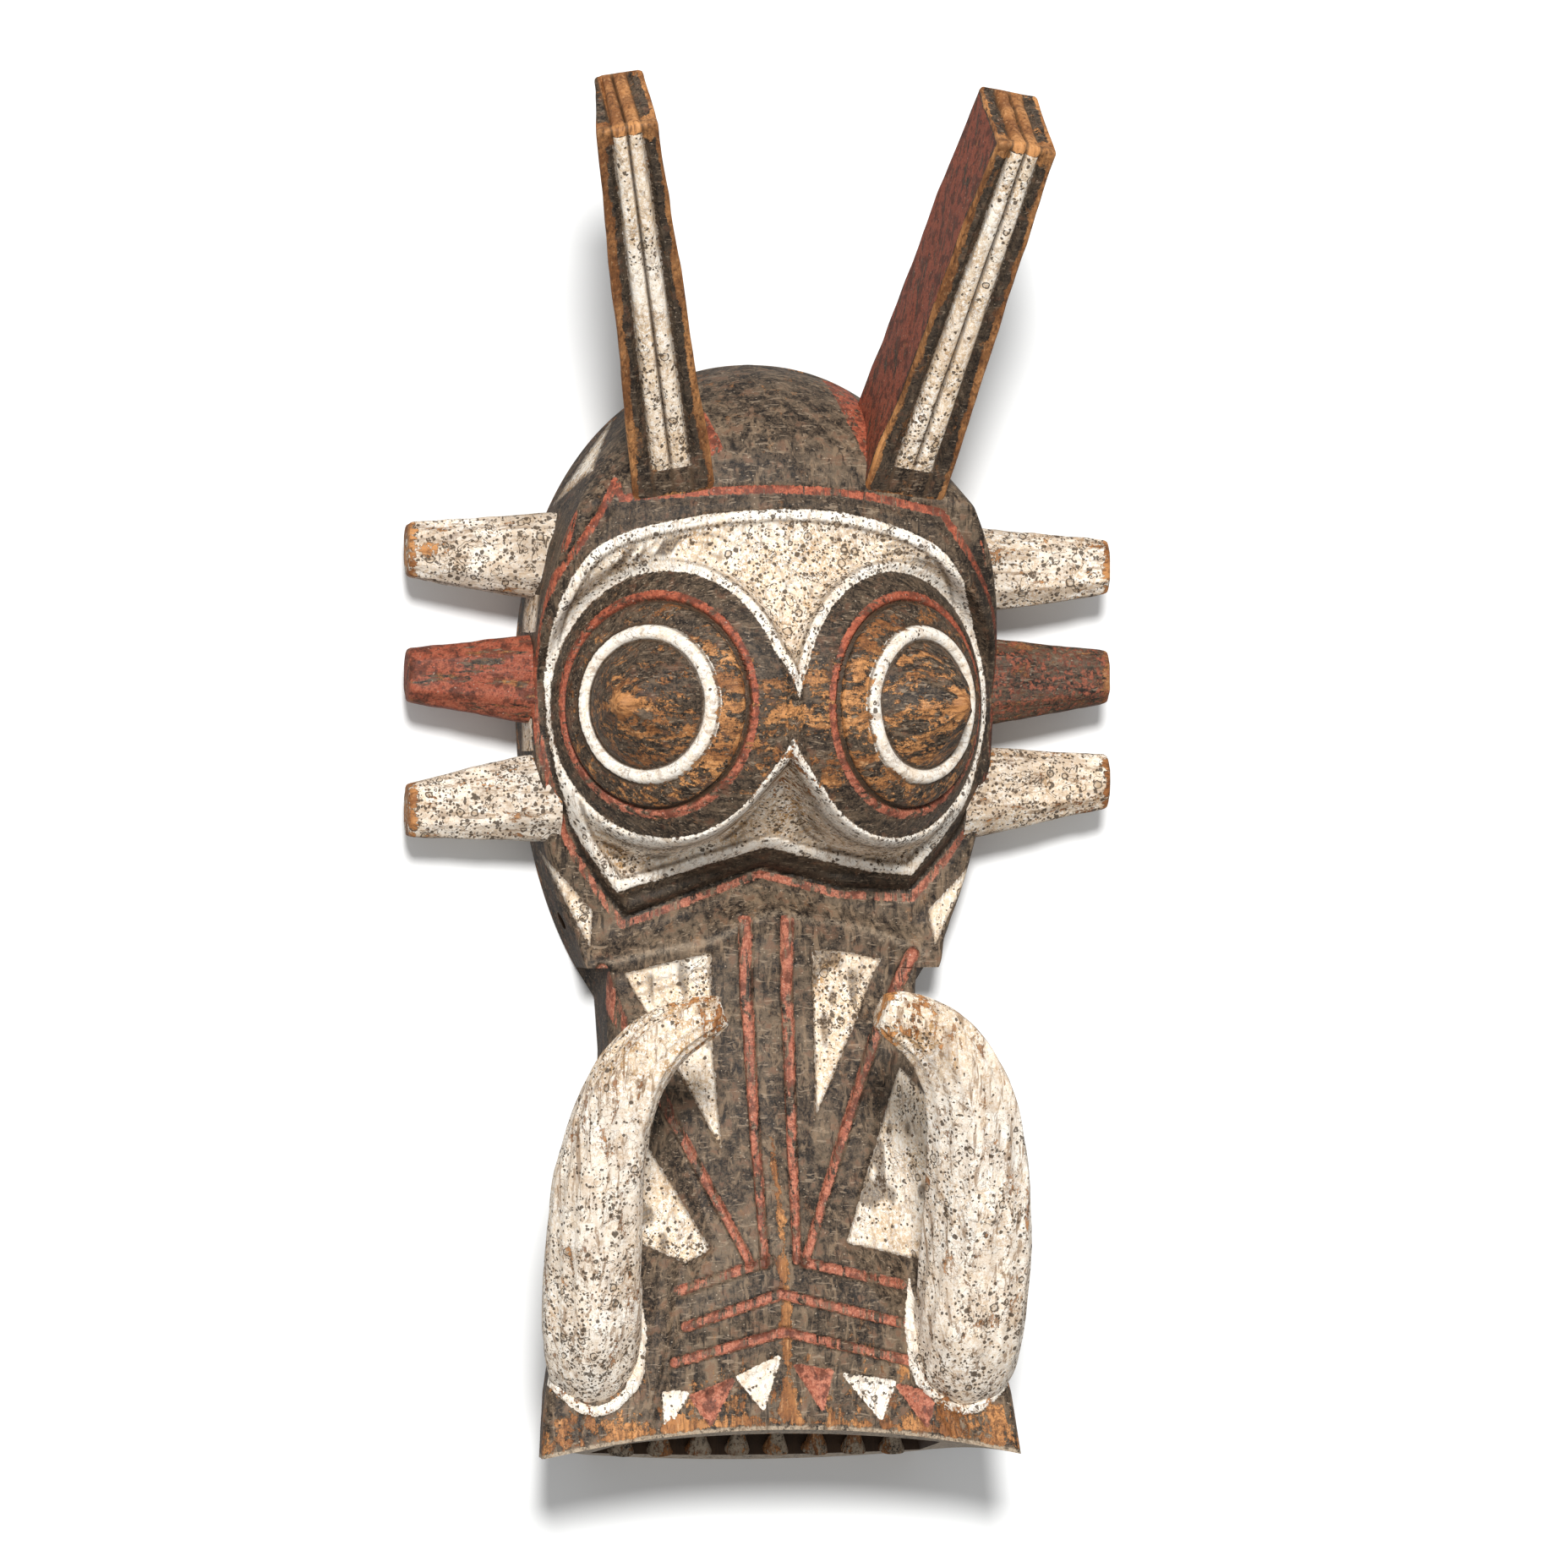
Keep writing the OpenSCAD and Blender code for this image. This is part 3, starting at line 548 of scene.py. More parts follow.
def bend_of(mesh, rounds=3):
    """How far each point stands out of its neighbours, positive on outer edges, negative in creases."""
    n = len(mesh.vertices)
    co = numbers(mesh.vertices, "co", 3) * 1000
    normal = numbers(mesh.vertex_normals, "vector", 3)
    a, b = numbers(mesh.edges, "vertices", 2, np.int32).T
    count = np.maximum(np.bincount(a, minlength=n) + np.bincount(b, minlength=n), 1)

    def around(values):
        return (np.bincount(a, values[b], n) + np.bincount(b, values[a], n)) / count

    gap = columns(*(around(c) - c for c in co.T))
    length = np.linalg.norm(co[a] - co[b], axis=1)
    mean = (np.bincount(a, length, n) + np.bincount(b, length, n)) / count
    out = -(gap * normal).sum(axis=1) / np.maximum(mean, 0.05) ** 2
    for _ in range(rounds):
        out = mix(out, around(out), 0.6)
    return out


PAINT_NAMES = ("cream", "red", "bare", "grime_and_shade", "dust", "ochre", "soil_and_shade", "spots", "chalk", "solid")


def finish_piece(made, paint, node, sharp=50):
    """Stores the paint at each point, shades the mesh, and ties the piece to the CAD model."""
    mesh = made.data
    paint = {**paint, "edge": bend_of(mesh)}
    for name in PAINT_NAMES + ("edge",):
        values = np.broadcast_to(np.asarray(paint.get(name, 0.0), float), (len(mesh.vertices),))
        layer = mesh.attributes.get(name) or mesh.attributes.new(name, "FLOAT", "POINT")
        layer.data.foreach_set("value", np.clip(values, -8, 8).astype(np.float32))
    mesh.polygons.foreach_set("use_smooth", np.ones(len(mesh.polygons), bool))
    mesh.set_sharp_from_angle(angle=math.radians(sharp))
    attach(made, "root")
    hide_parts(node)


# ---------- materials ----------
class Value:
    """A number in a shader, open to plain arithmetic."""

    def __init__(self, nodes, socket):
        self.nodes, self.socket = nodes, socket

    def __add__(self, other):
        return self.nodes.math("ADD", self, other)

    def __sub__(self, other):
        return self.nodes.math("SUBTRACT", self, other)

    def __rsub__(self, other):
        return self.nodes.math("SUBTRACT", other, self)

    def __mul__(self, other):
        return self.nodes.math("MULTIPLY", self, other)

    def __abs__(self):
        return self.nodes.math("ABSOLUTE", self)


class Nodes:
    """Short names for building a shader."""

    def __init__(self, name):
        self.material = bpy.data.materials.new(name)
        self.material.use_nodes = True
        self.tree = self.material.node_tree
        self.tree.nodes.clear()
        self.place = self.add("ShaderNodeTexCoord").outputs["Object"]

    def add(self, kind, **values):
        node = self.tree.nodes.new(kind)
        for key, value in values.items():
            setattr(node, key, value)
        return node

    def feed(self, socket, value):
        if isinstance(value, Value):
            value = value.socket
        if isinstance(value, bpy.types.NodeSocket):
            self.tree.links.new(value, socket)
        elif isinstance(value, tuple) and len(value) == 3 and len(socket.default_value) == 4:
            socket.default_value = (*value, 1)
        else:
            socket.default_value = value

    def node(self, kind, inputs, **values):
        """A node with its inputs filled in, by name or by number."""
        node = self.add(kind, **values)
        for key, value in inputs.items():
            self.feed(node.inputs[key], value)
        return node

    def math(self, operation, a, b=0.0, clamp=False):
        node = self.node("ShaderNodeMath", {0: a, 1: b}, operation=operation, use_clamp=clamp)
        return Value(self, node.outputs[0])

    def most(self, a, b):
        return self.math("MAXIMUM", a, b)

    def least(self, a, b):
        return self.math("MINIMUM", a, b)

    def step(self, value, low, high, to_low=0.0, to_high=1.0):
        inputs = dict(enumerate((value, low, high, to_low, to_high)))
        node = self.node("ShaderNodeMapRange", inputs, interpolation_type="SMOOTHSTEP")
        return Value(self, node.outputs[0])

    def blend(self, share, a, b):
        return self.node("ShaderNodeMix", {0: share, 6: a, 7: b}, data_type="RGBA").outputs[2]

    def coats(self, colour, *layers):
        """Lays (share, colour) layers over a colour."""
        for share, coat in layers:
            colour = self.blend(share, colour, coat)
        return colour

    def noise(self, scale, detail=3.0, rough=0.55, stretch=None, warp=0.0):
        place = self.place
        if stretch:
            place = self.node("ShaderNodeMapping", {"Vector": place, "Scale": stretch}).outputs[0]
        inputs = {"Vector": place, "Scale": scale, "Detail": detail, "Roughness": rough, "Distortion": warp}
        return Value(self, self.node("ShaderNodeTexNoise", inputs).outputs["Fac"])

    def cells(self, scale, feature="F1"):
        """Uneven cells: the distance in them, and three random numbers for each."""
        node = self.node("ShaderNodeTexVoronoi", {"Vector": self.uneven, "Scale": scale}, feature=feature)
        distance = Value(self, node.outputs["Distance"])
        if feature != "F1":
            return distance, None
        chance = self.node("ShaderNodeSeparateColor", {0: node.outputs["Color"]})
        return distance, [Value(self, chance.outputs[k]) for k in range(3)]

    def attribute(self, name):
        return Value(self, self.add("ShaderNodeAttribute", attribute_name=name).outputs["Fac"])

    def shade(self, colour, rough, height, bump, distance):
        relief = self.node("ShaderNodeBump", {"Strength": bump, "Distance": distance, "Height": height})
        inputs = {"Base Color": colour, "Roughness": rough, "Specular IOR Level": 0.22,
                  "Normal": relief.outputs[0]}
        shader = self.node("ShaderNodeBsdfPrincipled", inputs)
        return self.output(shader)

    def output(self, shader):
        self.node("ShaderNodeOutputMaterial", {0: shader.outputs[0]})
        return self.material


ALONG_Z = (1.0, 1.0, 0.10)
ALONG_X = (0.16, 1.0, 1.0)


def along(grain, share):
    """Stretch of a pattern the same way as the grain, but to another share."""
    return tuple(share if s < 1 else s for s in grain)


def wood_colour(n, stretch, dark=0.0):
    """Oiled orange-brown wood with grain along the stretched direction."""
    grain = n.noise(620, 5, 0.62, stretch=stretch, warp=0.4)
    broad = n.noise(70, 3, 0.5, stretch=stretch)
    colour = n.coats(n.blend(n.step(broad, 0.35, 0.68), (0.27, 0.105, 0.034), (0.60, 0.275, 0.098)),
                     (n.step(grain, 0.48, 0.66) * 0.75, (0.085, 0.033, 0.014)),
                     (n.step(grain, 0.44, 0.30) * 0.55, (0.76, 0.45, 0.22)))
    if dark:
        colour = n.blend(dark, colour, (0.035, 0.022, 0.014))
    return colour, grain


def shared_noises(n, stretch):
    """Keeps on n the noises that the paints share, and the space of the uneven cells."""
    n.tiny, n.fine, n.medium = n.noise(1300, 2, 0.6), n.noise(480, 4, 0.65), n.noise(160, 4, 0.6)
    n.broad = n.noise(40, 3, 0.55)
    n.grit = n.fine * 0.6 + n.tiny * 0.4
    n.streak = n.noise(360, 5, 0.68, stretch=stretch, warp=0.5)
    n.brush = n.noise(210, 5, 0.66, stretch=along(stretch, 0.25), warp=0.6)
    n.edge = n.attribute("edge")
    jitter = n.node("ShaderNodeTexNoise", {"Vector": n.place, "Scale": 420.0})
    inputs = {0: jitter.outputs["Color"], 1: (0.0020, 0.0020, 0.0020), 2: n.place}
    n.uneven = n.node("ShaderNodeVectorMath", inputs, operation="MULTIPLY_ADD").outputs[0]


def dirt_marks(n):
    """Keeps on n the specks, rings and loops of dark dirt, all of them small and uneven."""
    clouds = n.step(n.noise(30, 2, 0.5), 0.38, 0.66, 0.12, 0.85)
    density = n.math("ADD", clouds, n.attribute("spots"), clamp=True)

    def specks(distance, chance, size):
        radius = chance[0] * size * n.step(chance[1] - density, 0.0, -0.05)
        return n.step(radius - distance, -0.04, 0.06)

    distance, chance = n.cells(600.0)
    n.specks = n.most(specks(distance, chance, 0.50), specks(*n.cells(280.0), 0.37))
    n.light_specks = n.step(distance, 0.26, 0.16) * n.math("GREATER_THAN", chance[2], 0.90)
    distance, chance = n.cells(135.0)
    n.in_ring = n.step(chance[0], 0.0, 1.0, 0.07, 0.28) - distance
    n.has_ring = n.step(chance[1] - density * 0.75, 0.0, -0.05)
    ring = n.step(abs(n.in_ring), 0.060, 0.020) * n.has_ring
    loops = n.step(abs(n.noise(150, 2, 0.5, warp=0.5) - 0.60), 0.014, 0.005) * density
    n.marks = n.most(n.most(n.specks, ring), loops)


def black_paint(n):
    """Black earth paint, brushed lengthwise, dusty and finely scratched."""
    dust = n.attribute("dust")
    powder = dust * 1.3 + 0.17
    dusty = n.step(n.broad * 0.45 + n.medium * 0.55, 0.42, 0.63) * powder
    brushed = n.step(n.brush, 0.52, 0.62) * (powder * 0.8 + 0.12)
    scratch = n.noise(700, 2, 0.5, stretch=(0.22, 1.0, 1.0), warp=0.9)
    return n.coats(n.blend(n.step(n.grit, 0.41, 0.61), (0.012, 0.0085, 0.006), (0.100, 0.068, 0.044)),
                   (n.least(dusty, 0.80), (0.245, 0.177, 0.115)),
                   (n.least(brushed, 0.75), (0.27, 0.185, 0.115)),
                   (n.step(n.medium, 0.54, 0.66) * 0.40, (0.170, 0.066, 0.034)),
                   (n.step(n.streak, 0.53, 0.62) * 0.70, (0.010, 0.007, 0.005)),
                   (n.step(scratch, 0.60, 0.68) * 0.50, (0.37, 0.275, 0.190)),
                   (n.light_specks * 0.60, (0.46, 0.365, 0.270)),
                   (n.step(dust, 0.40, 0.85) * n.step(n.grit, 0.38, 0.58), (0.40, 0.315, 0.225)))


def red_paint(n, stretch):
    """Red earth paint, bright at the top and dull lower down, and where it lies."""
    place = n.node("ShaderNodeSeparateXYZ", {0: n.place})
    dull = n.step(Value(n, place.outputs[2]) + n.broad * 0.06, -0.08, -0.20)
    light = n.blend(dull, (0.53, 0.160, 0.085), (0.60, 0.250, 0.155))
    red = n.coats(n.blend(dull, (0.30, 0.070, 0.036), (0.34, 0.105, 0.062)),
                  (n.step(n.grit, 0.44, 0.58) * 0.70, light),
                  (n.step(n.medium, 0.50, 0.60) * 0.75, (0.095, 0.030, 0.018)),
                  (n.step(n.brush, 0.55, 0.63) * 0.45, (0.060, 0.026, 0.020)),
                  (n.light_specks * 0.65, (0.62, 0.42, 0.33)),
                  (n.specks * 0.5, (0.03, 0.018, 0.014)))
    gap = n.attribute("red") + (n.fine - 0.5) * 2.6
    thin = n.step(n.noise(260, 5, 0.72, stretch=stretch) + dull * 0.05, 0.62, 0.53)
    return red, n.step(gap, -0.2, 0.35) * n.most(thin, n.step(n.attribute("solid"), 0.4, 0.6))


def cream_paint(n, stretch, streaky, tan):
    """Chalk over tan: brown grain lines, yellow-brown clouds, cracks, specks, outlined flakes, painted
    highlights on raised edges and painted shade in creases.
    """
    large = n.step(n.noise(19, 4, 0.6, warp=0.8), 0.40, 0.60)
    cloud = n.step(n.noise(80, 5, 0.62, warp=0.6), 0.46, 0.70) * (n.attribute("ochre") + 0.50)
    chalk = n.attribute("chalk") * n.step(n.medium, 0.38, 0.56, 0.45, 0.95)
    cream = n.coats(n.blend(n.step(n.broad, 0.40, 0.60), (0.76, 0.58, 0.39), (0.94, 0.83, 0.68)),
                    (large * 0.5, (0.74, 0.56, 0.38)),
                    (n.least(cloud, 0.95), (0.50, 0.285, 0.110)),
                    (n.step(n.grit, 0.47, 0.58) * n.step(large, 0, 1, 0.90, 0.60), (0.99, 0.945, 0.87)),
                    # painted highlight: the cream whitens on raised edges, and with the stored whitening,
                    # which is partly painted highlight
                    (n.most(chalk, n.step(n.edge, 0.06, 0.30, 0.0, 0.60)), (0.96, 0.92, 0.84)),
                    (n.step(n.grit, 0.44, 0.36) * 0.65, (0.40, 0.27, 0.16)))
    if tan:
        wash = n.step(n.noise(110, 5, 0.66, stretch=along(stretch, 0.45), warp=0.5), 0.44, 0.60)
        smear = n.step(n.noise(75, 6, 0.70, stretch=stretch, warp=0.7), 0.56, 0.68)
        cream = n.coats(cream, (wash * tan, (0.47, 0.345, 0.235)),
                        (smear * (tan * 1.3), (0.215, 0.150, 0.115)))
    crack = n.step(n.cells(330.0, "DISTANCE_TO_EDGE")[0], 0.060, 0.015) * n.step(n.medium, 0.52, 0.64)
    cream = n.coats(cream,
                    (n.step(n.streak, 0.52, 0.62) * streaky, (0.28, 0.175, 0.100)),
                    (crack * 0.50, (0.20, 0.125, 0.07)),
                    (n.step(n.in_ring, 0.0, 0.08) * n.has_ring * 0.45, (0.36, 0.24, 0.13)),
                    (n.marks * 0.90, (0.060, 0.038, 0.022)),
                    # painted shade: browner in concave creases
                    (n.step(n.edge, -0.05, -0.22) * 0.6, (0.17, 0.105, 0.06)))
    return cream, crack


def painted_wood(name, stretch, wear_share, wear=230.0, streaky=0.5, tan=0.0):
    """Black, red and cream earth paints over wood, laid out by the piece's stored paint distances."""
    n = Nodes(name)
    shared_noises(n, stretch)
    dirt_marks(n)
    wood, grain = wood_colour(n, stretch)
    bare = n.attribute("bare")
    # where the paint is rubbed through
    rubbing = (n.noise(wear * 0.5, 7, 0.74, stretch=along(stretch, wear_share), warp=0.4) * 0.7
               + n.noise(wear * 1.5, 4, 0.70, warp=0.4) * 0.3)
    rubbing = n.step(rubbing, 0.39, 0.61)
    worn = n.step(bare + n.step(n.edge, 0.10, 0.34, 0.0, 0.60) - rubbing, -0.06, 0.14)
    stain = n.step(n.grit, 0.54, 0.44) * n.step(bare, 0.5, 1.0, 0.60, 0.15)
    # darkening by the stored marks, partly painted shade, and painted shade in concave creases
    grime_and_shade = n.most(n.attribute("grime_and_shade") * n.step(n.fine, 0.34, 0.56), n.step(n.edge, -0.05, -0.22) * 0.5)
    red, red_mask = red_paint(n, stretch)
    under = n.coats(black_paint(n), (worn, n.blend(stain, wood, (0.060, 0.026, 0.013))), (red_mask, red),
                    (grime_and_shade * 0.9, (0.012, 0.010, 0.008)))
    cream, crack = cream_paint(n, stretch, streaky, tan)
    cream_gap = n.attribute("cream")
    chipped = n.step(n.step(n.edge, 0.14, 0.40, 0.0, 0.18) + bare * 0.9 + 0.04 - rubbing, 0.0, 0.10)
    cream_mask = n.step(cream_gap + (n.fine - 0.5) * 2.2, -0.2, 0.25) * (1.0 - chipped)
    soil_and_shade = n.attribute("soil_and_shade") * n.step(n.grit, 0.36, 0.52, 0.35, 1.0)
    chip_wood = n.blend(n.step(cream_gap, -0.5, 0.5), under, wood)
    colour = n.coats(under, (chipped, chip_wood), (cream_mask, cream), (soil_and_shade * 0.90, (0.080, 0.048, 0.026)))
    rough = n.fine * 0.30 + n.step(cream_mask, 0.0, 1.0, 0.42, 0.60)
    sunk = n.most(n.marks, crack) * cream_mask * 0.40
    height = cream_mask * 0.50 + n.grit * 0.80 + grain * 0.30 - sunk - worn * 0.30
    return n.shade(colour, rough, height, bump=0.75, distance=0.0006)


def raw_wood(name, dark, least=0.0):
    """Unpainted wood, as in the hollows and on the joint faces."""
    n = Nodes(name)
    blotch = n.step(n.noise(58, 7, 0.72, stretch=(1.0, 1.0, 0.5), warp=0.6), 0.40, 0.62)
    colour, grain = wood_colour(n, ALONG_Z, n.most(blotch * dark, least))
    fine = n.noise(500, 3, 0.6)
    return n.shade(colour, fine * 0.30 + 0.55, grain + fine * 0.5, bump=0.5, distance=0.0004)


front_paint = painted_wood("front_paint", ALONG_Z, 0.35)
eye_paint = painted_wood("eye_paint", ALONG_X, 0.42, wear=260.0)
lug_paint = painted_wood("lug_paint", ALONG_X, 0.35, streaky=0.65, tan=0.55)
tusk_paint = painted_wood("tusk_paint", ALONG_Z, 0.25, streaky=0.80, tan=0.36)
# painted shade: near-black wood on the faces cut by the mouth, cord-hole and jaw cutters stands in for the
# shade in the mouth and holes
mouth_shade_wood = raw_wood("mouth_shade_wood", 0.6, 0.95)
inside_wood = raw_wood("inside_wood", 0.85, 0.32)
peg_wood = raw_wood("peg_wood", 0.3)
MATERIALS = [front_paint, inside_wood, mouth_shade_wood]


# ---------- head ----------
CORD_D, CORD_Z, CORD_R = 13, -240, 4


def head_outline(count_oval, count_neck):
    """Head outline in x and z, evenly spaced, anticlockwise from the right end of the neck joint."""
    t = np.linspace(-90, 270, 7201)
    c, s = np.cos(np.radians(t)), np.sin(np.radians(t))
    n = np.where(s > 0, OVAL_POWER, JAW_POWER)
    line = columns(RIM_HALF_W * squared(c, n), np.where(s > 0, RIM_UP, RIM_DOWN) * squared(s, n) + RIM_MID_Z)
    oval, _ = spaced(line[line[:, 1] > NECK_Z], count_oval)
    oval[0, 1] = oval[-1, 1] = NECK_Z
    neck = columns(np.linspace(oval[-1, 0], oval[0, 0], count_neck + 2)[1:-1], NECK_Z)
    off_neck = ease(NECK_Z, NECK_Z + 14, oval[:, 1])
    return np.vstack([oval, neck]), np.concatenate([off_neck, np.zeros(count_neck)])


def head_block():
    outline, off_neck = head_outline(520, 100)
    centre = np.array([0, RIM_MID_Z])
    arm = outline - centre
    reach = np.linalg.norm(arm, axis=1)
    edge_share = 1 - 0.025 * off_neck
    corner_r = 4.5 * off_neck
    tops = centre + arm * edge_share[:, None]
    top_depth = np.maximum(head_front(*tops.T)[0] - corner_r, 3)
    rings = []
    wall_rings, front_rings = 15, 116
    for k in range(wall_rings):
        t = k / wall_rings
        xz = centre + arm * mix(1, edge_share, t)[:, None]
        p = columns(xz[:, 0], top_depth * t, xz[:, 1])
        gouge = layered(p, 17, 31) * 0.8 * off_neck * min(1.0, t * 4)
        p[:, [0, 2]] += arm / reach[:, None] * gouge[:, None]
        rings.append(p)
    for k in range(front_rings):
        share = edge_share * (1 - (k / front_rings) ** 1.06)
        x, z = (centre + arm * share[:, None]).T
        inwards = (edge_share - share) * reach
        u = np.clip(inwards / np.maximum(corner_r, 0.01), 0, 1)
        depth = head_front(x, z)[0] - corner_r * (1 - dome(1 - u))
        rings.append(columns(x, np.maximum(depth, 3), z))
    middle = head_front(np.zeros(1), np.full(1, RIM_MID_Z))[0][0]
    return ring_solid("head", rings, (0, 0, RIM_MID_Z), (0, middle, RIM_MID_Z))


def head_hollow():
    count, back = 180, -5
    t = np.radians(np.arange(count) * 360 / count)
    c, s = np.cos(t), np.sin(t)
    n = np.where(s > 0, OVAL_POWER, 4.0)
    x1 = (RIM_HALF_W - RIM_WALL) * squared(c, n)
    z1 = np.where(s > 0, RIM_UP - RIM_WALL, HOLLOW_DOWN) * squared(s, n)
    rings = [columns(x1, back + 1.25 * k, z1 + RIM_MID_Z) for k in range(4)]
    for share in np.linspace(1, 0.03, 62):
        x, z = x1 * share, RIM_MID_Z + z1 * share
        depth = HOLLOW_SHARE * face_depth(x * 1.05, z) * (1 - 0.35 * share ** 6)
        p = columns(x, depth * ease(1.0, 0.955, share) ** 0.5, z)
        gouge = np.abs(noise(p, 13, 41)) * 1.6 + noise(p, 5, 43) * 0.35
        p[:, 1] -= gouge * (share < 0.97)
        rings.append(p)
    return ring_solid("hollow", rings, (0, back, RIM_MID_Z), (0, rings[-1][:, 1].mean(), RIM_MID_Z), RAW)


def circle(t, across, up):
    """Directions round the axis that is square to across and up."""
    return np.cos(t)[:, None] * across + np.sin(t)[:, None] * up


def turns(count):
    return np.arange(count) * 2 * math.pi / count


def rod(name, start, end, radius, count=24):
    """A plain round cutter between two points."""
    a, b = np.array(start, float), np.array(end, float)
    d = (b - a) / np.linalg.norm(b - a)
    side = np.cross(d, [0.31, 0.17, 0.9])
    side /= np.linalg.norm(side)
    ring = radius * circle(turns(count), side, np.cross(d, side))
    return ring_solid(name, [a + ring, b + ring], a, b, DARK_SHADE)


def cord_notch(side):
    """The square notch in the hollow's lower corner where a cord hole starts."""
    points, faces = box_grid((8, 6, 4))
    x, depth, z = points.T
    points = columns(side * mix(30, 64, x), mix(-5, 18, depth), mix(CORD_Z - 5, CORD_Z + 5, z))
    return solid("notch", points, faces, RAW)


def head_share(x, z):
    """Place between the head's middle, 0, and its rim, 1."""
    n = np.where(z > RIM_MID_Z, OVAL_POWER, JAW_POWER)
    high = np.where(z > RIM_MID_Z, RIM_UP, RIM_DOWN)
    return ((np.abs(x) / RIM_HALF_W) ** n + (np.abs(z - RIM_MID_Z) / high) ** n) ** (1 / n)


def clear_paint(paint, where):
    for name in PAINT_NAMES:
        paint[name] = np.where(where, NO_PAINT if name in ("cream", "red") else 0.0, paint[name])


def head_paint(x, depth, z):
    """Paint of the front, with cream strips and triangles on the side walls."""
    front, paint = head_front(x, z)
    share = head_share(x, z)
    wall = ease(0.955, 0.975, share) * ease(6, 9, front - depth)
    on_wall = wall > 0.5
    # the triangles are laid out as seen from ten degrees to the left
    turned = -0.985 * np.abs(x) + 0.1736 * depth
    triangles = inside_any(turned, z, [[(-63.9, -2.3), (-93.4, -45.8), (-73.2, -29.5)],
                                       [(-100.1, -205.8), (-73.6, -235.2), (-74.7, -252.5)]])
    between_lugs = (np.abs(z + 96) < 9) | (np.abs(z + 153) < 8)
    cream = np.where(on_wall & between_lugs, 4 - np.abs(depth - 27) * 0.25, NO_PAINT)
    cream = np.where(share > 0.86, np.maximum(cream, triangles), cream)
    paint["cream"] = np.where(on_wall, cream, np.maximum(paint["cream"], cream))
    paint["red"] = np.where(on_wall, NO_PAINT, paint["red"])
    for name in PAINT_NAMES[2:]:
        paint[name] = paint[name] * (1 - wall)
    paint["soil_and_shade"] = np.maximum(paint["soil_and_shade"], 0.8 * dome((cream - 0.3) / 0.8) * (share > 0.88))
    paint["ochre"] = np.maximum(paint["ochre"], 0.8 * wall)
    paint["bare"] = np.maximum(paint["bare"], ease(-10, 12, z) * 0.06 + 0.30 * wall * ease(10, 2, depth))
    # the rim's flat back has no pattern, only worn black
    behind = depth < 2.0
    clear_paint(paint, behind)
    paint["bare"] = np.where(behind, 0.40, paint["bare"])
    return paint


def build_head():
    """The head, and a plain copy of its outside that the horns and lugs are fitted to."""
    head = head_block()
    head.name = "head_carved"
    block = twin(head)
    combine(head, head_hollow())
    for side in SIDES:
        combine(head, rod("cord", (side * 63, CORD_D, CORD_Z), (side * 123, CORD_D, CORD_Z), CORD_R))
        combine(head, cord_notch(side))
    finish_piece(head, head_paint(*place_of(head.data)), "head_shell")
    # the discs round the eyes have the wood of the eye bosses
    x, _, z = numbers(head.data.polygons, "center", 3).T * 1000
    slots = numbers(head.data.polygons, "material_index", 1, np.int32)[:, 0]
    slots[(slots == PAINT) & (disc_gap(x, z) > -1.0)] = len(MATERIALS)
    head.data.materials.append(eye_paint)
    head.data.polygons.foreach_set("material_index", slots)
    return block


# ---------- snout and lower jaw ----------
def snout_front(x, z):
    w, nose, cheek, front_w = (look(z, t) for t in (NOSE_W, NOSE, CHEEK, FRONT_W))
    a = np.abs(x)
    flat = np.where(a < w, nose - 3 * a / w, mix(nose - 3, cheek, (a - w) / np.maximum(1, front_w - w)))
    return mix(flat, panel_depth(x, np.full_like(z, NECK_Z)), ease(-292, NECK_Z, z))


def snout_ring(v, front_n=250, side_n=26, back_n=30):
    """Section of the snout at share v of its length."""
    z = mix(NECK_Z, -488.0, v)
    fw, bw, cheek = look(z, FRONT_W), look(z, BACK_W), look(z, CHEEK)
    round_r = 5.0 * ease(0, 0.05, v) + 0.01
    x = np.linspace(-1, 1, front_n) * fw
    inwards = fw - np.abs(x)
    drop = round_r * (1 - dome(1 - np.clip(inwards / round_r, 0, 1)))
    relief, _ = layout(x, mix(NECK_Z, mouth_end(x, np.full(front_n, 90.0)), v))
    relief = relief * ease(0, 6, inwards) * ease(0, 0.01, v) + relief * ease(0.01, 0, v)
    front = columns(x, snout_front(x, np.full(front_n, z)) + relief - drop)
    corners = [(fw, front[-1, 1]), (mix(bw, fw, 0.93), cheek * 0.6), (mix(bw, fw, 0.6), cheek * 0.25),
               (bw, 0)]
    right = spaced(soften(corners, 2), side_n + 1)[0][1:]
    back = columns(np.linspace(bw, -bw, back_n + 1)[1:-1], 0)
    x, depth = np.vstack([front, right, back, right[::-1] * [-1, 1]]).T
    gouge = layered(columns(x, depth, z), 19, 51) * 0.6 * (depth > 1) * ease(0, 0.03, v)
    gouge[:front_n] = 0
    x = x + np.sign(x) * gouge
    return columns(x, depth, mix(NECK_Z, mouth_end(x, depth), v))


def snout_block():
    rows, mid_depth = 205, 46.0
    rings = [snout_ring(k / rows) for k in range(rows + 1)]
    last = rings[-1][:, :2]
    for share in (0.96, 0.9, 0.8, 0.65, 0.45, 0.25, 0.1):
        x, depth = (mix([0, mid_depth], last, share)).T
        rings.append(columns(x, depth, mouth_end(x, depth)))
    end = (0, mid_depth, float(mouth_end(0, mid_depth)))
    return ring_solid("snout_carved", rings, (0, 20, NECK_Z), end)


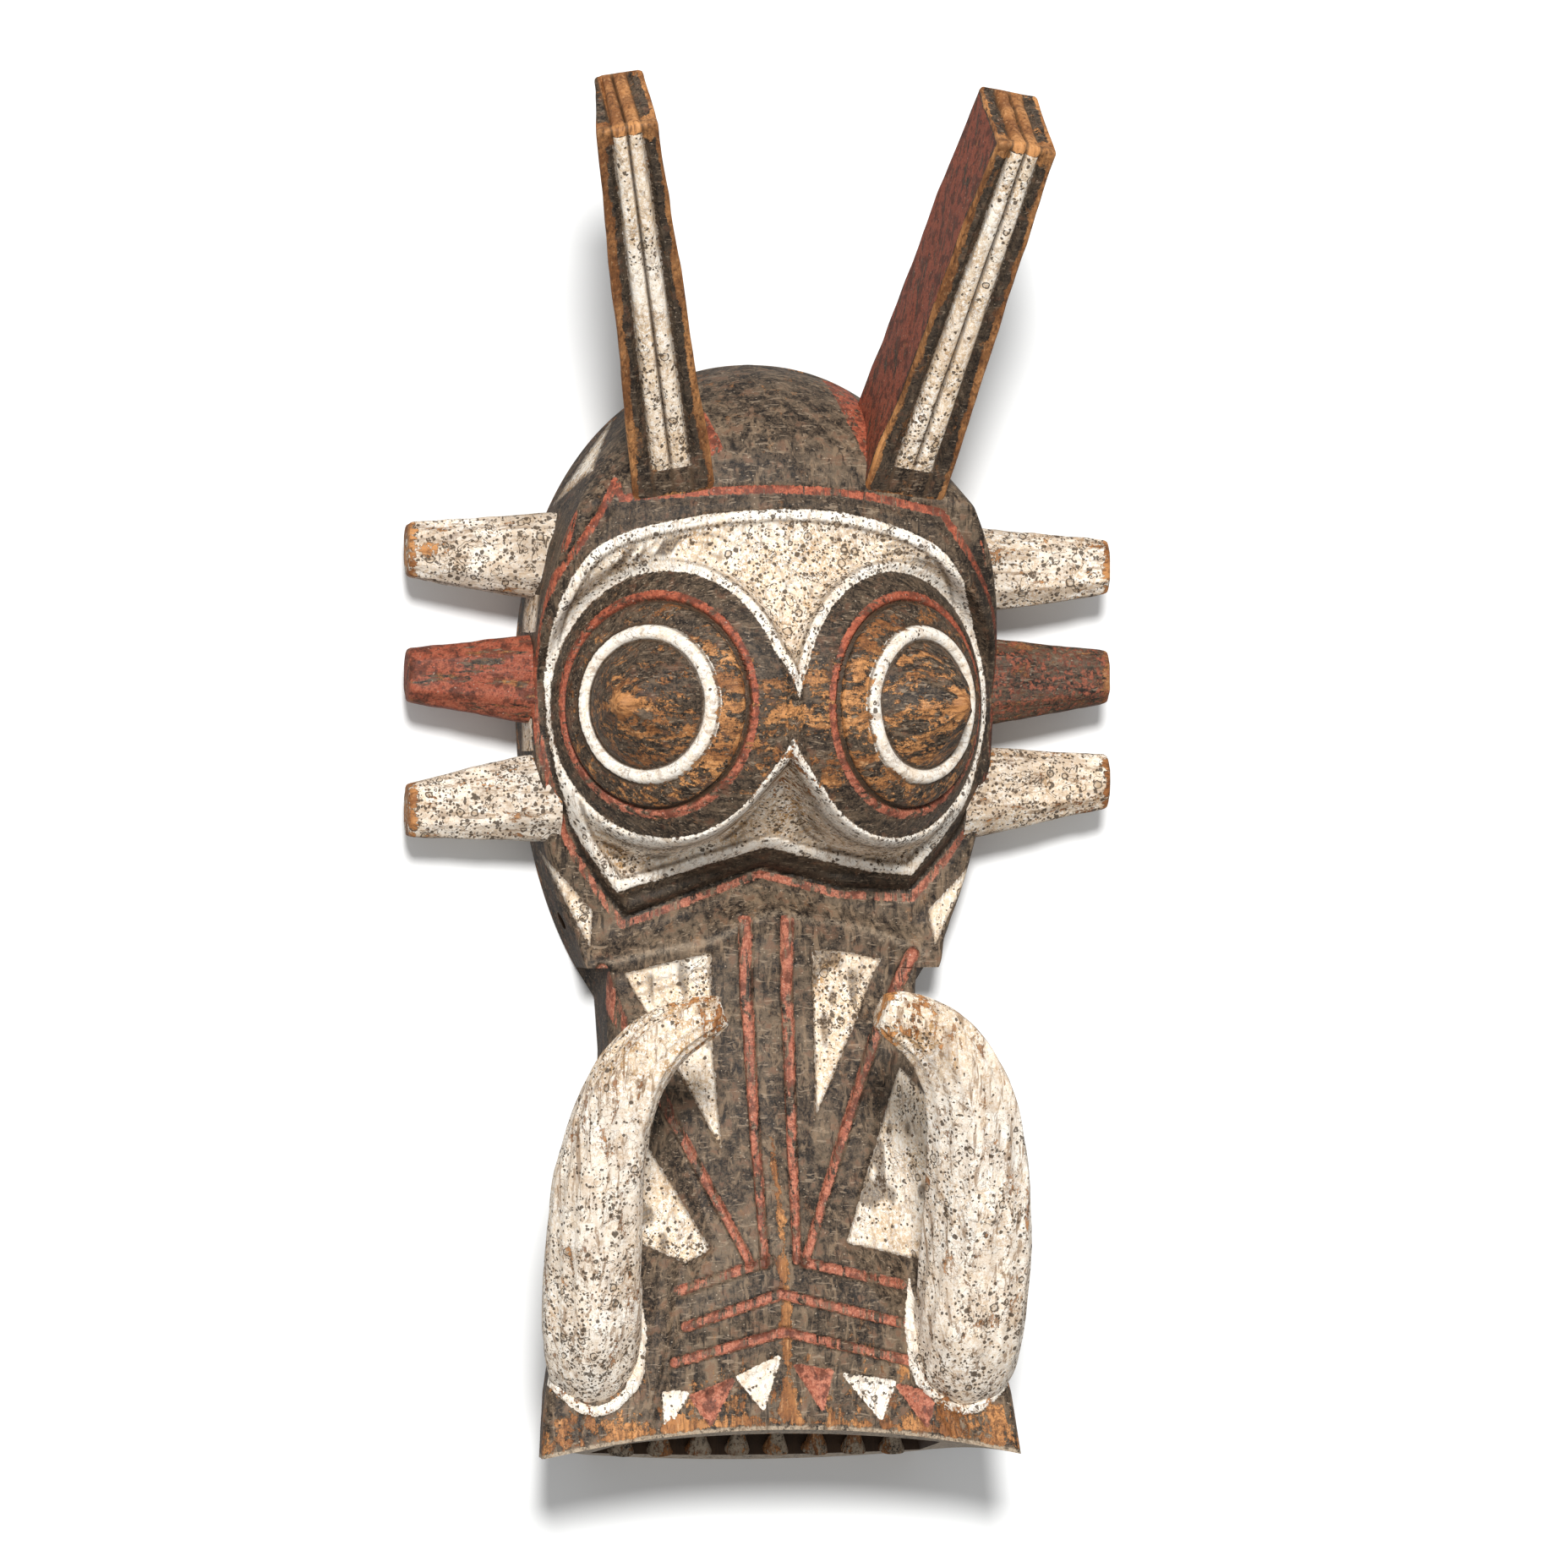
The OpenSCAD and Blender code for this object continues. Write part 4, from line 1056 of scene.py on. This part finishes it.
def hull_box(name, low, high):
    """A closed cutter between a rectangle at one level and another below: (x half, D from, D to, z)."""
    rings = []
    for half, d0, d1, z in (low, high):
        side = 14
        top = [(mix(-half, half, k / side), d1) for k in range(side)]
        right = [(half, mix(d1, d0, k / 6)) for k in range(6)]
        bottom = [(mix(half, -half, k / side), d0) for k in range(side)]
        left = [(-half, mix(d0, d1, k / 6)) for k in range(6)]
        rings.append(np.array([(a, d, z) for a, d in top + right + bottom + left], float))
    steps = 16
    stack = [mix(rings[0], rings[1], k / steps) for k in range(steps + 1)]
    return ring_solid(name, stack, stack[0].mean(axis=0), stack[-1].mean(axis=0), DARK_SHADE)


def split_snout(made, operation):
    """Keeps the part of the block on one side of the parting face, and opens the mouth."""
    combine(made, hull_box("jaw_box", (200, -200, 46, -330), (200, -200, 46, -730)), operation)
    combine(made, hull_box("mouth", (56, 22, 60, -386), (70, 14, 74, -462)))
    combine(made, hull_box("mouth", (69.9, 14.1, 73.9, -461), (82, 13.2, 79, -500)))


def snout_paint(made, most_bare):
    x, depth, z = place_of(made.data)
    _, paint = layout(x, z)
    side = depth <= snout_front(x, z) - 7
    clear_paint(paint, side)
    # cracked and rubbed end grain round the lips, and a dusty end
    end = z - mouth_end(x, depth)
    bare = highest(paint["bare"], 0.62 * ease(14, 2, end), 0.32 * ease(-440, -480, z) * side)
    paint["bare"] = np.minimum(bare * ease(1.6, 2.6, end), most_bare)
    paint["dust"] = np.maximum(paint["dust"], ease(2.6, 1.6, end))
    return paint


def build_snout():
    """The snout and the lower jaw, and a plain copy of both in one that the tusks are fitted to."""
    snout = snout_block()
    block, jaw = twin(snout), twin(snout)
    jaw.name = "lower_jaw_carved"
    split_snout(snout, "DIFFERENCE")
    split_snout(jaw, "INTERSECT")
    finish_piece(snout, snout_paint(snout, np.inf), "snout")
    finish_piece(jaw, snout_paint(jaw, 0.25), "lower_jaw")
    return block


# ---------- horns ----------
HORN_FOOT_W, HORN_END_W, HORN_DEEP, HORN_BURIED = 38.0, 29.0, 54.0, 34.0
RIB_SHARE = 0.46
LEFT_HORN_TAPER = 6.5


def horn_axes(side):
    foot = np.array([side * 57 + 5, -86.0, -30.0])
    top = np.array([side * 93 + 5, -179.0, 123.0 if side < 0 else 116.0])
    length = np.linalg.norm(top - foot)
    up = (top - foot) / length
    across = np.array([1.0, 0, 0]) - up[0] * up
    across /= np.linalg.norm(across)
    return foot, up, across, np.cross(up, across), length


def horn_block(side, name):
    """A plank with rounded arrises and two ribs along its front and over its end."""
    foot, up, across, back, length = horn_axes(side)
    grid, faces = box_grid((50, 34, 164))
    u = mix(-HORN_BURIED, length, grid[:, 2])
    half = mix(HORN_FOOT_W, HORN_END_W, np.clip(u / length, -0.2, 1)) / 2
    a, b = (grid[:, 0] * 2 - 1) * half, grid[:, 1] * HORN_DEEP
    r = 2.4
    core = columns(np.clip(a, r - half, half - r), np.clip(b, r, HORN_DEEP - r),
                   np.clip(u, r - HORN_BURIED, length - 2.8))
    off = columns(a, b, u) - core
    size = np.maximum(np.linalg.norm(off, axis=1), 1e-6)
    p = core + off / size[:, None] * np.minimum(size, r)[:, None]
    s = np.abs(a) / (RIB_SHARE * half)
    rib = np.where(s < 1, 3.6 * dome((s - 0.5) / 0.5) - 2.2,
                   -2.2 * dome((s - 1) / 0.35) - 0.8 * ease(1.15, 1.5, s) * ease(2.1, 1.9, s))
    end = ease(length - 1.2, length, u)
    p[:, 1] -= rib * ease(1.2, 0, b) * ease(-2, 7, u) * ease(length - 1, length - 7, u)
    p[:, 2] += (rib * 0.7 - 0.9) * end * ease(2, 9, b) * ease(HORN_DEEP - 0.5, HORN_DEEP - 4, b)
    sample = p + side * 300
    p[:, 0] += layered(sample, 30, 61) * 0.7 * ease(0, 0.3, np.abs(a) / half)
    p[:, 1] += layered(sample, 24, 64) * 0.5
    p[:, 2] += noise(sample, 9, 67) * 0.9 * end
    if side < 0:
        outer = ease(-2, -half * 0.99, p[:, 0])
        p[:, 0] += LEFT_HORN_TAPER * outer * np.clip(p[:, 1] / HORN_DEEP, 0, 1)
    world = foot + p[:, :1] * across + p[:, 1:2] * back + p[:, 2:] * up
    return solid(name + "_carved", world * [1, -1, 1], faces)


def build_horn(side, block):
    name = SIDES[side] + "_horn"
    horn = horn_block(side, name)
    combine(horn, block, keep_tool=True)
    foot, up, across, back, length = horn_axes(side)
    x, depth, z = place_of(horn.data)
    q = columns(x, -depth, z) - foot
    a, b, u = q @ across, q @ back, q @ up
    half = mix(HORN_FOOT_W, HORN_END_W, np.clip(u / length, 0, 1)) / 2
    s = np.abs(a) / (RIB_SHARE * half)
    edge_in = half - np.abs(a)
    on_front = (b < 5) & (edge_in > 0.6)
    on_end = (u > length - 3.2) & (b >= 2.6)
    cream = np.where(on_front & (u <= length - 4), (1 - s) * RIB_SHARE * half + 0.6, NO_PAINT)
    cream = np.where(u < 1.5, np.minimum(cream, u - 0.5), cream)
    inner_side = (edge_in < 1.5) & (b > 2.0) & ~on_end & (a * side < 0)
    red = np.where(inner_side, 0.75 if side > 0 else 2.0 - b * 0.2, NO_PAINT)
    wide = 3.6 + 1.6 * noise(q, 20, 71) + (1.2 if side < 0 else 0.0) * (a < 0)
    bare = 1.1 * np.maximum(ease(wide + 0.8, wide - 1.6, edge_in) * ease(4.5, 2.5, b),
                            ease(5.5, 2.5, b) * ease(length - 12, length - 7, u))
    end_bare = highest(1.05 * ease(1.15, 0.95, s), ease(3.4, 1.6, edge_in), 1.1 * ease(13, 9, b))
    bare = np.where(on_end, np.maximum(end_bare, 0.22), np.maximum(bare, 0.06))
    bare = np.where(red > 0, 0.12, bare)
    lines = 0.9 * dome((s - 1.05) / 0.10) + 0.9 * dome(a)
    paint = {"cream": cream, "red": red, "bare": np.where(cream > 0.5, 0.0, bare), "dust": 0.05,
             "grime_and_shade": 0.5 * (on_front & (s > 1)) + 0.35 * (red > 0), "ochre": 0.25,
             "soil_and_shade": lines * (on_front | on_end) * (red < 0), "spots": 0.75 * ease(90, 20, u) - 0.15}
    finish_piece(horn, paint, name)


# ---------- eye bosses ----------
BOSS_PROFILE = [(0, 0), (46.9, 0), (47.3, 1.0), (47.2, 2.3), (46.0, 3.9), (44, 5.5), (41.5, 6.9),
                (38.5, 8.1), (37.0, 8.5), (36.6, 9.2), (36.0, 10.4), (35.0, 11.2), (33.4, 11.6),
                (31.6, 11.2), (30.6, 10.2), (30.2, 9.6), (29.4, 10.2), (26, 14.5), (22.5, 18.3),
                (19, 21.8), (15, 25.6), (11, 29.2), (7.4, 32.2), (5.0, 34.4), (3.4, 35.9), (2.0, 36.8),
                (1.0, 37.15), (0.3, 37.2)]


def build_eye(side):
    t = turns(300)
    ca, sa = math.cos(EYE_TURN), math.sin(EYE_TURN)
    tip = np.array([side * EYE_TIP[0], EYE_TIP[1], EYE_TIP[2]])
    axis, across, up = np.array([side * sa, ca, 0]), np.array([side * ca, -sa, 0]), np.array([0, 0, 1.0])
    base = tip - axis * (EYE_BOSS_H + 1.5)
    rings = [base + 46.4 * circle(t, across, up)]
    for r, h in spaced(BOSS_PROFILE[1:], 118)[0]:
        ring = tip + axis * (h - EYE_BOSS_H) + r * circle(t, across, up)
        amount = layered(ring + side * 90, 16, 81) * 0.45 + noise(ring + side * 90, 5, 85) * 0.1
        facets = np.abs(np.sin(t * 4.5 + side)) - 0.64
        amount -= 1.5 * facets * ease(30, 24, r) * ease(2, 10, r)
        rings.append(ring + axis * (amount * ease(46.5, 44, r))[:, None])
    name = SIDES[side] + "_eye_boss"
    eye = ring_solid(name + "_turned", rings, base, tip + axis * 0.15)
    eye.data.materials[PAINT] = eye_paint
    q = columns(*place_of(eye.data)) - tip
    r = np.hypot(q @ across, q @ up)
    turn = np.arctan2(q @ up, q @ across)
    medial, low = -np.cos(turn), -np.sin(turn)
    cone = ease(30.5, 28, r) * ((0.30 if side < 0 else 0.35) + 0.20 * ease(24, 6, r) + 0.10 * low)
    band = ease(36.0, 37.5, r) * (0.20 + 0.42 * ease(0.2, 1.0, medial) + 0.14 * ease(0.3, 0.9, low))
    paint = {"cream": 3.5 + 0.9 * medial - np.abs(r - 33.4 - 0.7 * medial), "red": NO_PAINT, "ochre": 0.2,
             "bare": np.clip(np.maximum(cone + 0.8 * ease(8.0, 3.5, r), band), 0, 1.2),
             "grime_and_shade": np.maximum(0.8 * dome((r - 30.0) / 0.8), 0.7 * dome((r - 37.2) / 0.9)),
             "soil_and_shade": 0.9 * np.maximum(dome((r - 29.9) / 0.8), dome((r - 37.4) / 0.8)),
             "spots": -0.55, "chalk": 0.7}
    finish_piece(eye, paint, name)


# ---------- side lugs ----------
LUG_LEVELS = {-1: [(-70, -66.5), (-127, -125), (-180.5, -188)],
              1: [(-76, -73.5), (-128, -125.5), (-180, -175)]}
LUG_NAMES = ("upper", "middle", "lower")
LUG_INNER = (88, 96, 96)
LUG_REACH, LUG_DEPTH, LUG_END = 167.0, 22.0, 2.6


def lug_outline(high, deep, count):
    """Octagon with softened corners as offsets in depth and z."""
    a, b = high / 2, deep / 2
    ca, cb = a * 0.55, b * 0.5
    corner = np.array([(cb, a), (-cb, a), (-b, ca), (-b, -ca), (-cb, -a), (cb, -a), (b, -ca), (b, ca)], float)
    ring = []
    for k in range(8):
        before, here, after = corner[k - 1], corner[k], corner[(k + 1) % 8]
        ring += [mix(here, before, 0.14), (mix(here, before, 0.04) + mix(here, after, 0.04)) / 2,
                 mix(here, after, 0.14)]
    return spaced(ring + ring[:1], count + 1)[0][:-1]


def lug_block(side, k, name):
    (z0, z1), inner = LUG_LEVELS[side][k], LUG_INNER[k]
    rings, steps, count = [], 78, 112
    seed = 100 + k * 7 + (side > 0) * 31
    for i in range(steps + 1):
        t = i / steps
        high = mix(44, 25.5, t) + 1.2 * math.sin(3.1 * t + seed) * t * (1 - t)
        o = lug_outline(high, mix(38, 22.5, t), count)
        p = columns(mix(inner, LUG_REACH - LUG_END, t), LUG_DEPTH + o[:, 0], mix(z0, z1, t) + o[:, 1])
        bump = layered(p * [0.28, 1, 1], 7, seed) * 0.42 + layered(p, 17, seed + 3) * 0.55
        p[:, 1:] += o / np.maximum(np.linalg.norm(o, axis=1), 1e-6)[:, None] * bump[:, None]
        rings.append(p)
    last = rings[-1]
    middle = last.mean(axis=0)
    for share, rise in ((0.975, 1.0), (0.93, 1.9), (0.85, 2.4), (0.68, 2.7), (0.45, 2.9), (0.2, 3.0)):
        p = mix(middle, last, share)
        p[:, 0] = LUG_REACH - LUG_END + rise + noise(p, 6, seed + 5) * 0.4 * (1 - share * 0.6)
        rings.append(p)
    flip = np.array([side, 1, 1])
    return ring_solid(name + "_carved", [r * flip for r in rings], np.array([inner, LUG_DEPTH, z0]) * flip,
                      np.array([LUG_REACH + 0.3, LUG_DEPTH, middle[2]]) * flip)


def build_lug(side, k, block):
    name = f"{SIDES[side]}_{LUG_NAMES[k]}_lug"
    lug = lug_block(side, k, name)
    combine(lug, block, keep_tool=True)
    lug.data.materials[PAINT] = lug_paint
    reach = np.abs(place_of(lug.data)[0]) - LUG_REACH
    bare = np.maximum(0.82 * ease(-5.5, -1.5, reach), 0.15 * ease(-24, -8, reach))
    left = side < 0
    if LUG_NAMES[k] == "middle":
        slot, floor = "red_wood", 0.16
        paint = {"cream": NO_PAINT, "red": 1.2 if left else 0.0, "grime_and_shade": 0.22 if left else 0.40}
    else:
        slot, floor = "cream_wood", 0.05
        paint = {"cream": 6.0, "red": NO_PAINT, "soil_and_shade": 0.20 * ease(-34, -52, reach)}
    paint.update(bare=np.maximum(bare, floor), dust=0.2, ochre=0.30 if left else 0.60,
                 spots=0.95 if left else 0.75, chalk=0.35 if left else 0.15)
    finish_piece(lug, paint, name)


# ---------- tusks ----------
def tusk_block(side, name):
    """A tapering tube with long flutes that follows TUSK_LINE."""
    steps, seed = 170, 150 + (side > 0) * 20
    path, even = spaced(TUSK_LINE, steps, 3)
    for _ in range(30):
        path[1:-1] = mix(path[1:-1], (path[:-2] + path[2:]) / 2, 0.8)
    ahead = np.gradient(path[:, :3], axis=0)
    ahead /= np.linalg.norm(ahead, axis=1)[:, None]
    across = np.cross([0, 1.0, 0], ahead)
    across /= np.linalg.norm(across, axis=1)[:, None]
    up = np.cross(ahead, across)
    t = turns(120)
    rings = []
    for k in range(steps):
        s = even[k] / even[-1]
        root = ease(0.02, 0.2, s)
        flute = 1.1 * (1 - 2 * np.abs(np.sin(t * 2.5 + 0.7 * side + 1.6 * s))) * root * ease(1.0, 0.8, s)
        flute += 0.45 * (1 - 2 * np.abs(np.sin(t * 7.5 + 3 * s))) * root
        local = columns(np.cos(t) * 12, np.sin(t) * 12, even[k] * 0.22) + seed
        bump = flute + layered(local, 6.0, seed) * 0.55 + layered(local * [1, 1, 3.0], 14, seed + 4) * 0.6
        end = ease(0.975, 1.0, s)
        r = path[k, 3] * TUSK_GIRTH[side] + bump * (1 - end * 0.6) - end * 0.9
        rings.append(path[k, :3] + r[:, None] * circle(t, across[k], 0.94 * up[k]))
    last = rings[-1]
    centre = last.mean(axis=0)
    for share, rise in ((0.90, 0.5), (0.72, 0.3), (0.4, 0.2)):
        rings.append(mix(centre, last, share) + ahead[-1] * rise)
    flip, shift = np.array([side, 1, 1]), np.array([TUSK_INSET[side], 0, 0])
    return ring_solid(name + "_carved", [(r - shift) * flip for r in rings], (path[0, :3] - shift) * flip,
                      (centre + ahead[-1] * 0.2 - shift) * flip)


def build_tusk(side, block):
    name = SIDES[side] + "_tusk"
    tusk = tusk_block(side, name)
    combine(tusk, block, keep_tool=True)
    tusk.data.materials[PAINT] = tusk_paint
    x, _, z = place_of(tusk.data)
    stain, tip = (1.2, 0.44) if side < 0 else (0.8, 0.44 * 0.7)
    paint = {"cream": 6.0, "red": NO_PAINT, "ochre": 0.50 + stain * ease(-335, -300, z),
             "bare": 0.04 + tip * ease(68, 48, np.abs(x)) * ease(-302, -290, z),
             "spots": 0.35 * ease(-310, -340, z) - 0.10, "chalk": 0.50 * ease(-300, -330, z)}
    finish_piece(tusk, paint, name)


# ---------- lower teeth ----------
def build_teeth():
    points, faces = [], []
    count, steps, high, lean = 28, 18, 14, math.radians(28)
    c, s = math.cos(lean), math.sin(lean)
    t = turns(count)
    square = 1 / np.maximum(np.abs(np.cos(t)), np.abs(np.sin(t)))
    section = mix(1.0, square / square.max() * 1.25, 0.35)
    for i in range(8):
        centre = np.array([(i - 3.5) * 18.5, 16.5, -489.0])
        start = len(points)
        for k in range(steps + 1):
            rise = k / steps
            r = 6.2 * (1 - rise) ** 0.92 + 0.5 * rise
            ring = columns(r * section * np.cos(t), r * section * np.sin(t) * 0.9, high * rise)
            ring[:, :2] *= (1 + 0.10 * noise(ring + i * 31, 3.5, 91))[:, None]
            x, d, z = ring.T
            turned = columns(x, d * c + z * s, z * c - d * s)
            points += (centre + turned).tolist()
        base, top = len(points), len(points) + 1
        points += [centre.tolist(), (centre + 14.3 * np.array([0, s, c])).tolist()]
        faces += [[start + v for v in q] for q in stack_faces(steps + 1, count)]
        faces += fan(start, count, base) + fan(start + steps * count, count, top)
    teeth = solid("lower_teeth_carved", points, faces)
    paint = {"cream": -2.0, "red": NO_PAINT, "bare": 0.45, "dust": 1.0}
    finish_piece(teeth, paint, "lower_teeth")


# ---------- assembly ----------
head_solid, snout_solid = build_head(), build_snout()
build_teeth()
for side in SIDES:
    build_horn(side, head_solid)
    build_eye(side)
    build_tusk(side, snout_solid)
    for k in range(3):
        build_lug(side, k, head_solid)
bpy.data.objects.remove(head_solid)
bpy.data.objects.remove(snout_solid)
for name in ("neck_dowels", "jaw_dowels"):
    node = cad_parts[name]
    node.data.materials.clear()
    node.data.materials.append(peg_wood)


# ---------- wall, floor, light and camera ----------
def one_sided(name, colour):
    """Matt paint that is clear from behind."""
    n = Nodes(name)
    shader = n.node("ShaderNodeBsdfDiffuse", {0: colour})
    clear = n.add("ShaderNodeBsdfTransparent")
    side = n.add("ShaderNodeNewGeometry").outputs["Backfacing"]
    mixer = n.node("ShaderNodeMixShader", {0: side, 1: shader.outputs[0], 2: clear.outputs[0]})
    return n.output(mixer)


def sheet(name, corners, material):
    mesh = bpy.data.meshes.new(name)
    mesh.from_pydata(corners, [], [(0, 1, 2, 3)])
    mesh.materials.append(material)
    made = linked(name, mesh)
    # light passes through, so the back of the mask isn't black in the views from behind
    made.visible_diffuse = made.visible_glossy = made.visible_transmission = made.visible_shadow = False


def point(made, direction):
    """Turns a light or camera to look in a direction."""
    made.rotation_mode = "QUATERNION"
    made.rotation_quaternion = direction.to_track_quat("-Z", "Y")


WALL_Y, FLOOR_Z, FLOOR_FRONT, SPAN = 0.0012, -0.62, -2.4, 1.6
sheet("wall", [(-SPAN, WALL_Y, FLOOR_Z), (SPAN, WALL_Y, FLOOR_Z), (SPAN, WALL_Y, SPAN),
               (-SPAN, WALL_Y, SPAN)], one_sided("wall_paint", (0.90, 0.90, 0.89)))
sheet("floor", [(-SPAN, FLOOR_FRONT, FLOOR_Z), (SPAN, FLOOR_FRONT, FLOOR_Z), (SPAN, WALL_Y, FLOOR_Z),
                (-SPAN, WALL_Y, FLOOR_Z)], one_sided("floor_paint", (0.80, 0.79, 0.77)))

world = bpy.data.worlds.new("studio")
scene.world = world
world.use_nodes = True
sky = world.node_tree.nodes["Background"]
sky.inputs[0].default_value = (0.98, 0.99, 1.0, 1)
sky.inputs[1].default_value = 0.49

sun_data = bpy.data.lights.new("key", "SUN")
sun_data.energy = 3.4
sun_data.angle = math.radians(12)
point(linked("key", sun_data), Vector((0.12, 1.0, -0.42)))

CAMERA_TURN = math.radians(-10)
CAMERA_AWAY, FRAME_W, DEPTH_IN_FOCUS, SENSOR_W = 5.0, 0.7286, 0.08, 36
right = Vector((math.cos(CAMERA_TURN), math.sin(CAMERA_TURN), 0))
back = Vector((math.sin(CAMERA_TURN), -math.cos(CAMERA_TURN), 0))
camera_data = bpy.data.cameras.new("camera")
camera_data.sensor_width = SENSOR_W
camera_data.lens = SENSOR_W * CAMERA_AWAY / FRAME_W
camera_data.clip_start, camera_data.clip_end = 0.05, 40
camera = linked("camera", camera_data)
aim = right * 0.0159 + back * DEPTH_IN_FOCUS + Vector((0, 0, -0.1756))
camera.location = aim + back * CAMERA_AWAY
point(camera, -back)
scene.camera = camera
scene.view_settings.view_transform = "Standard"
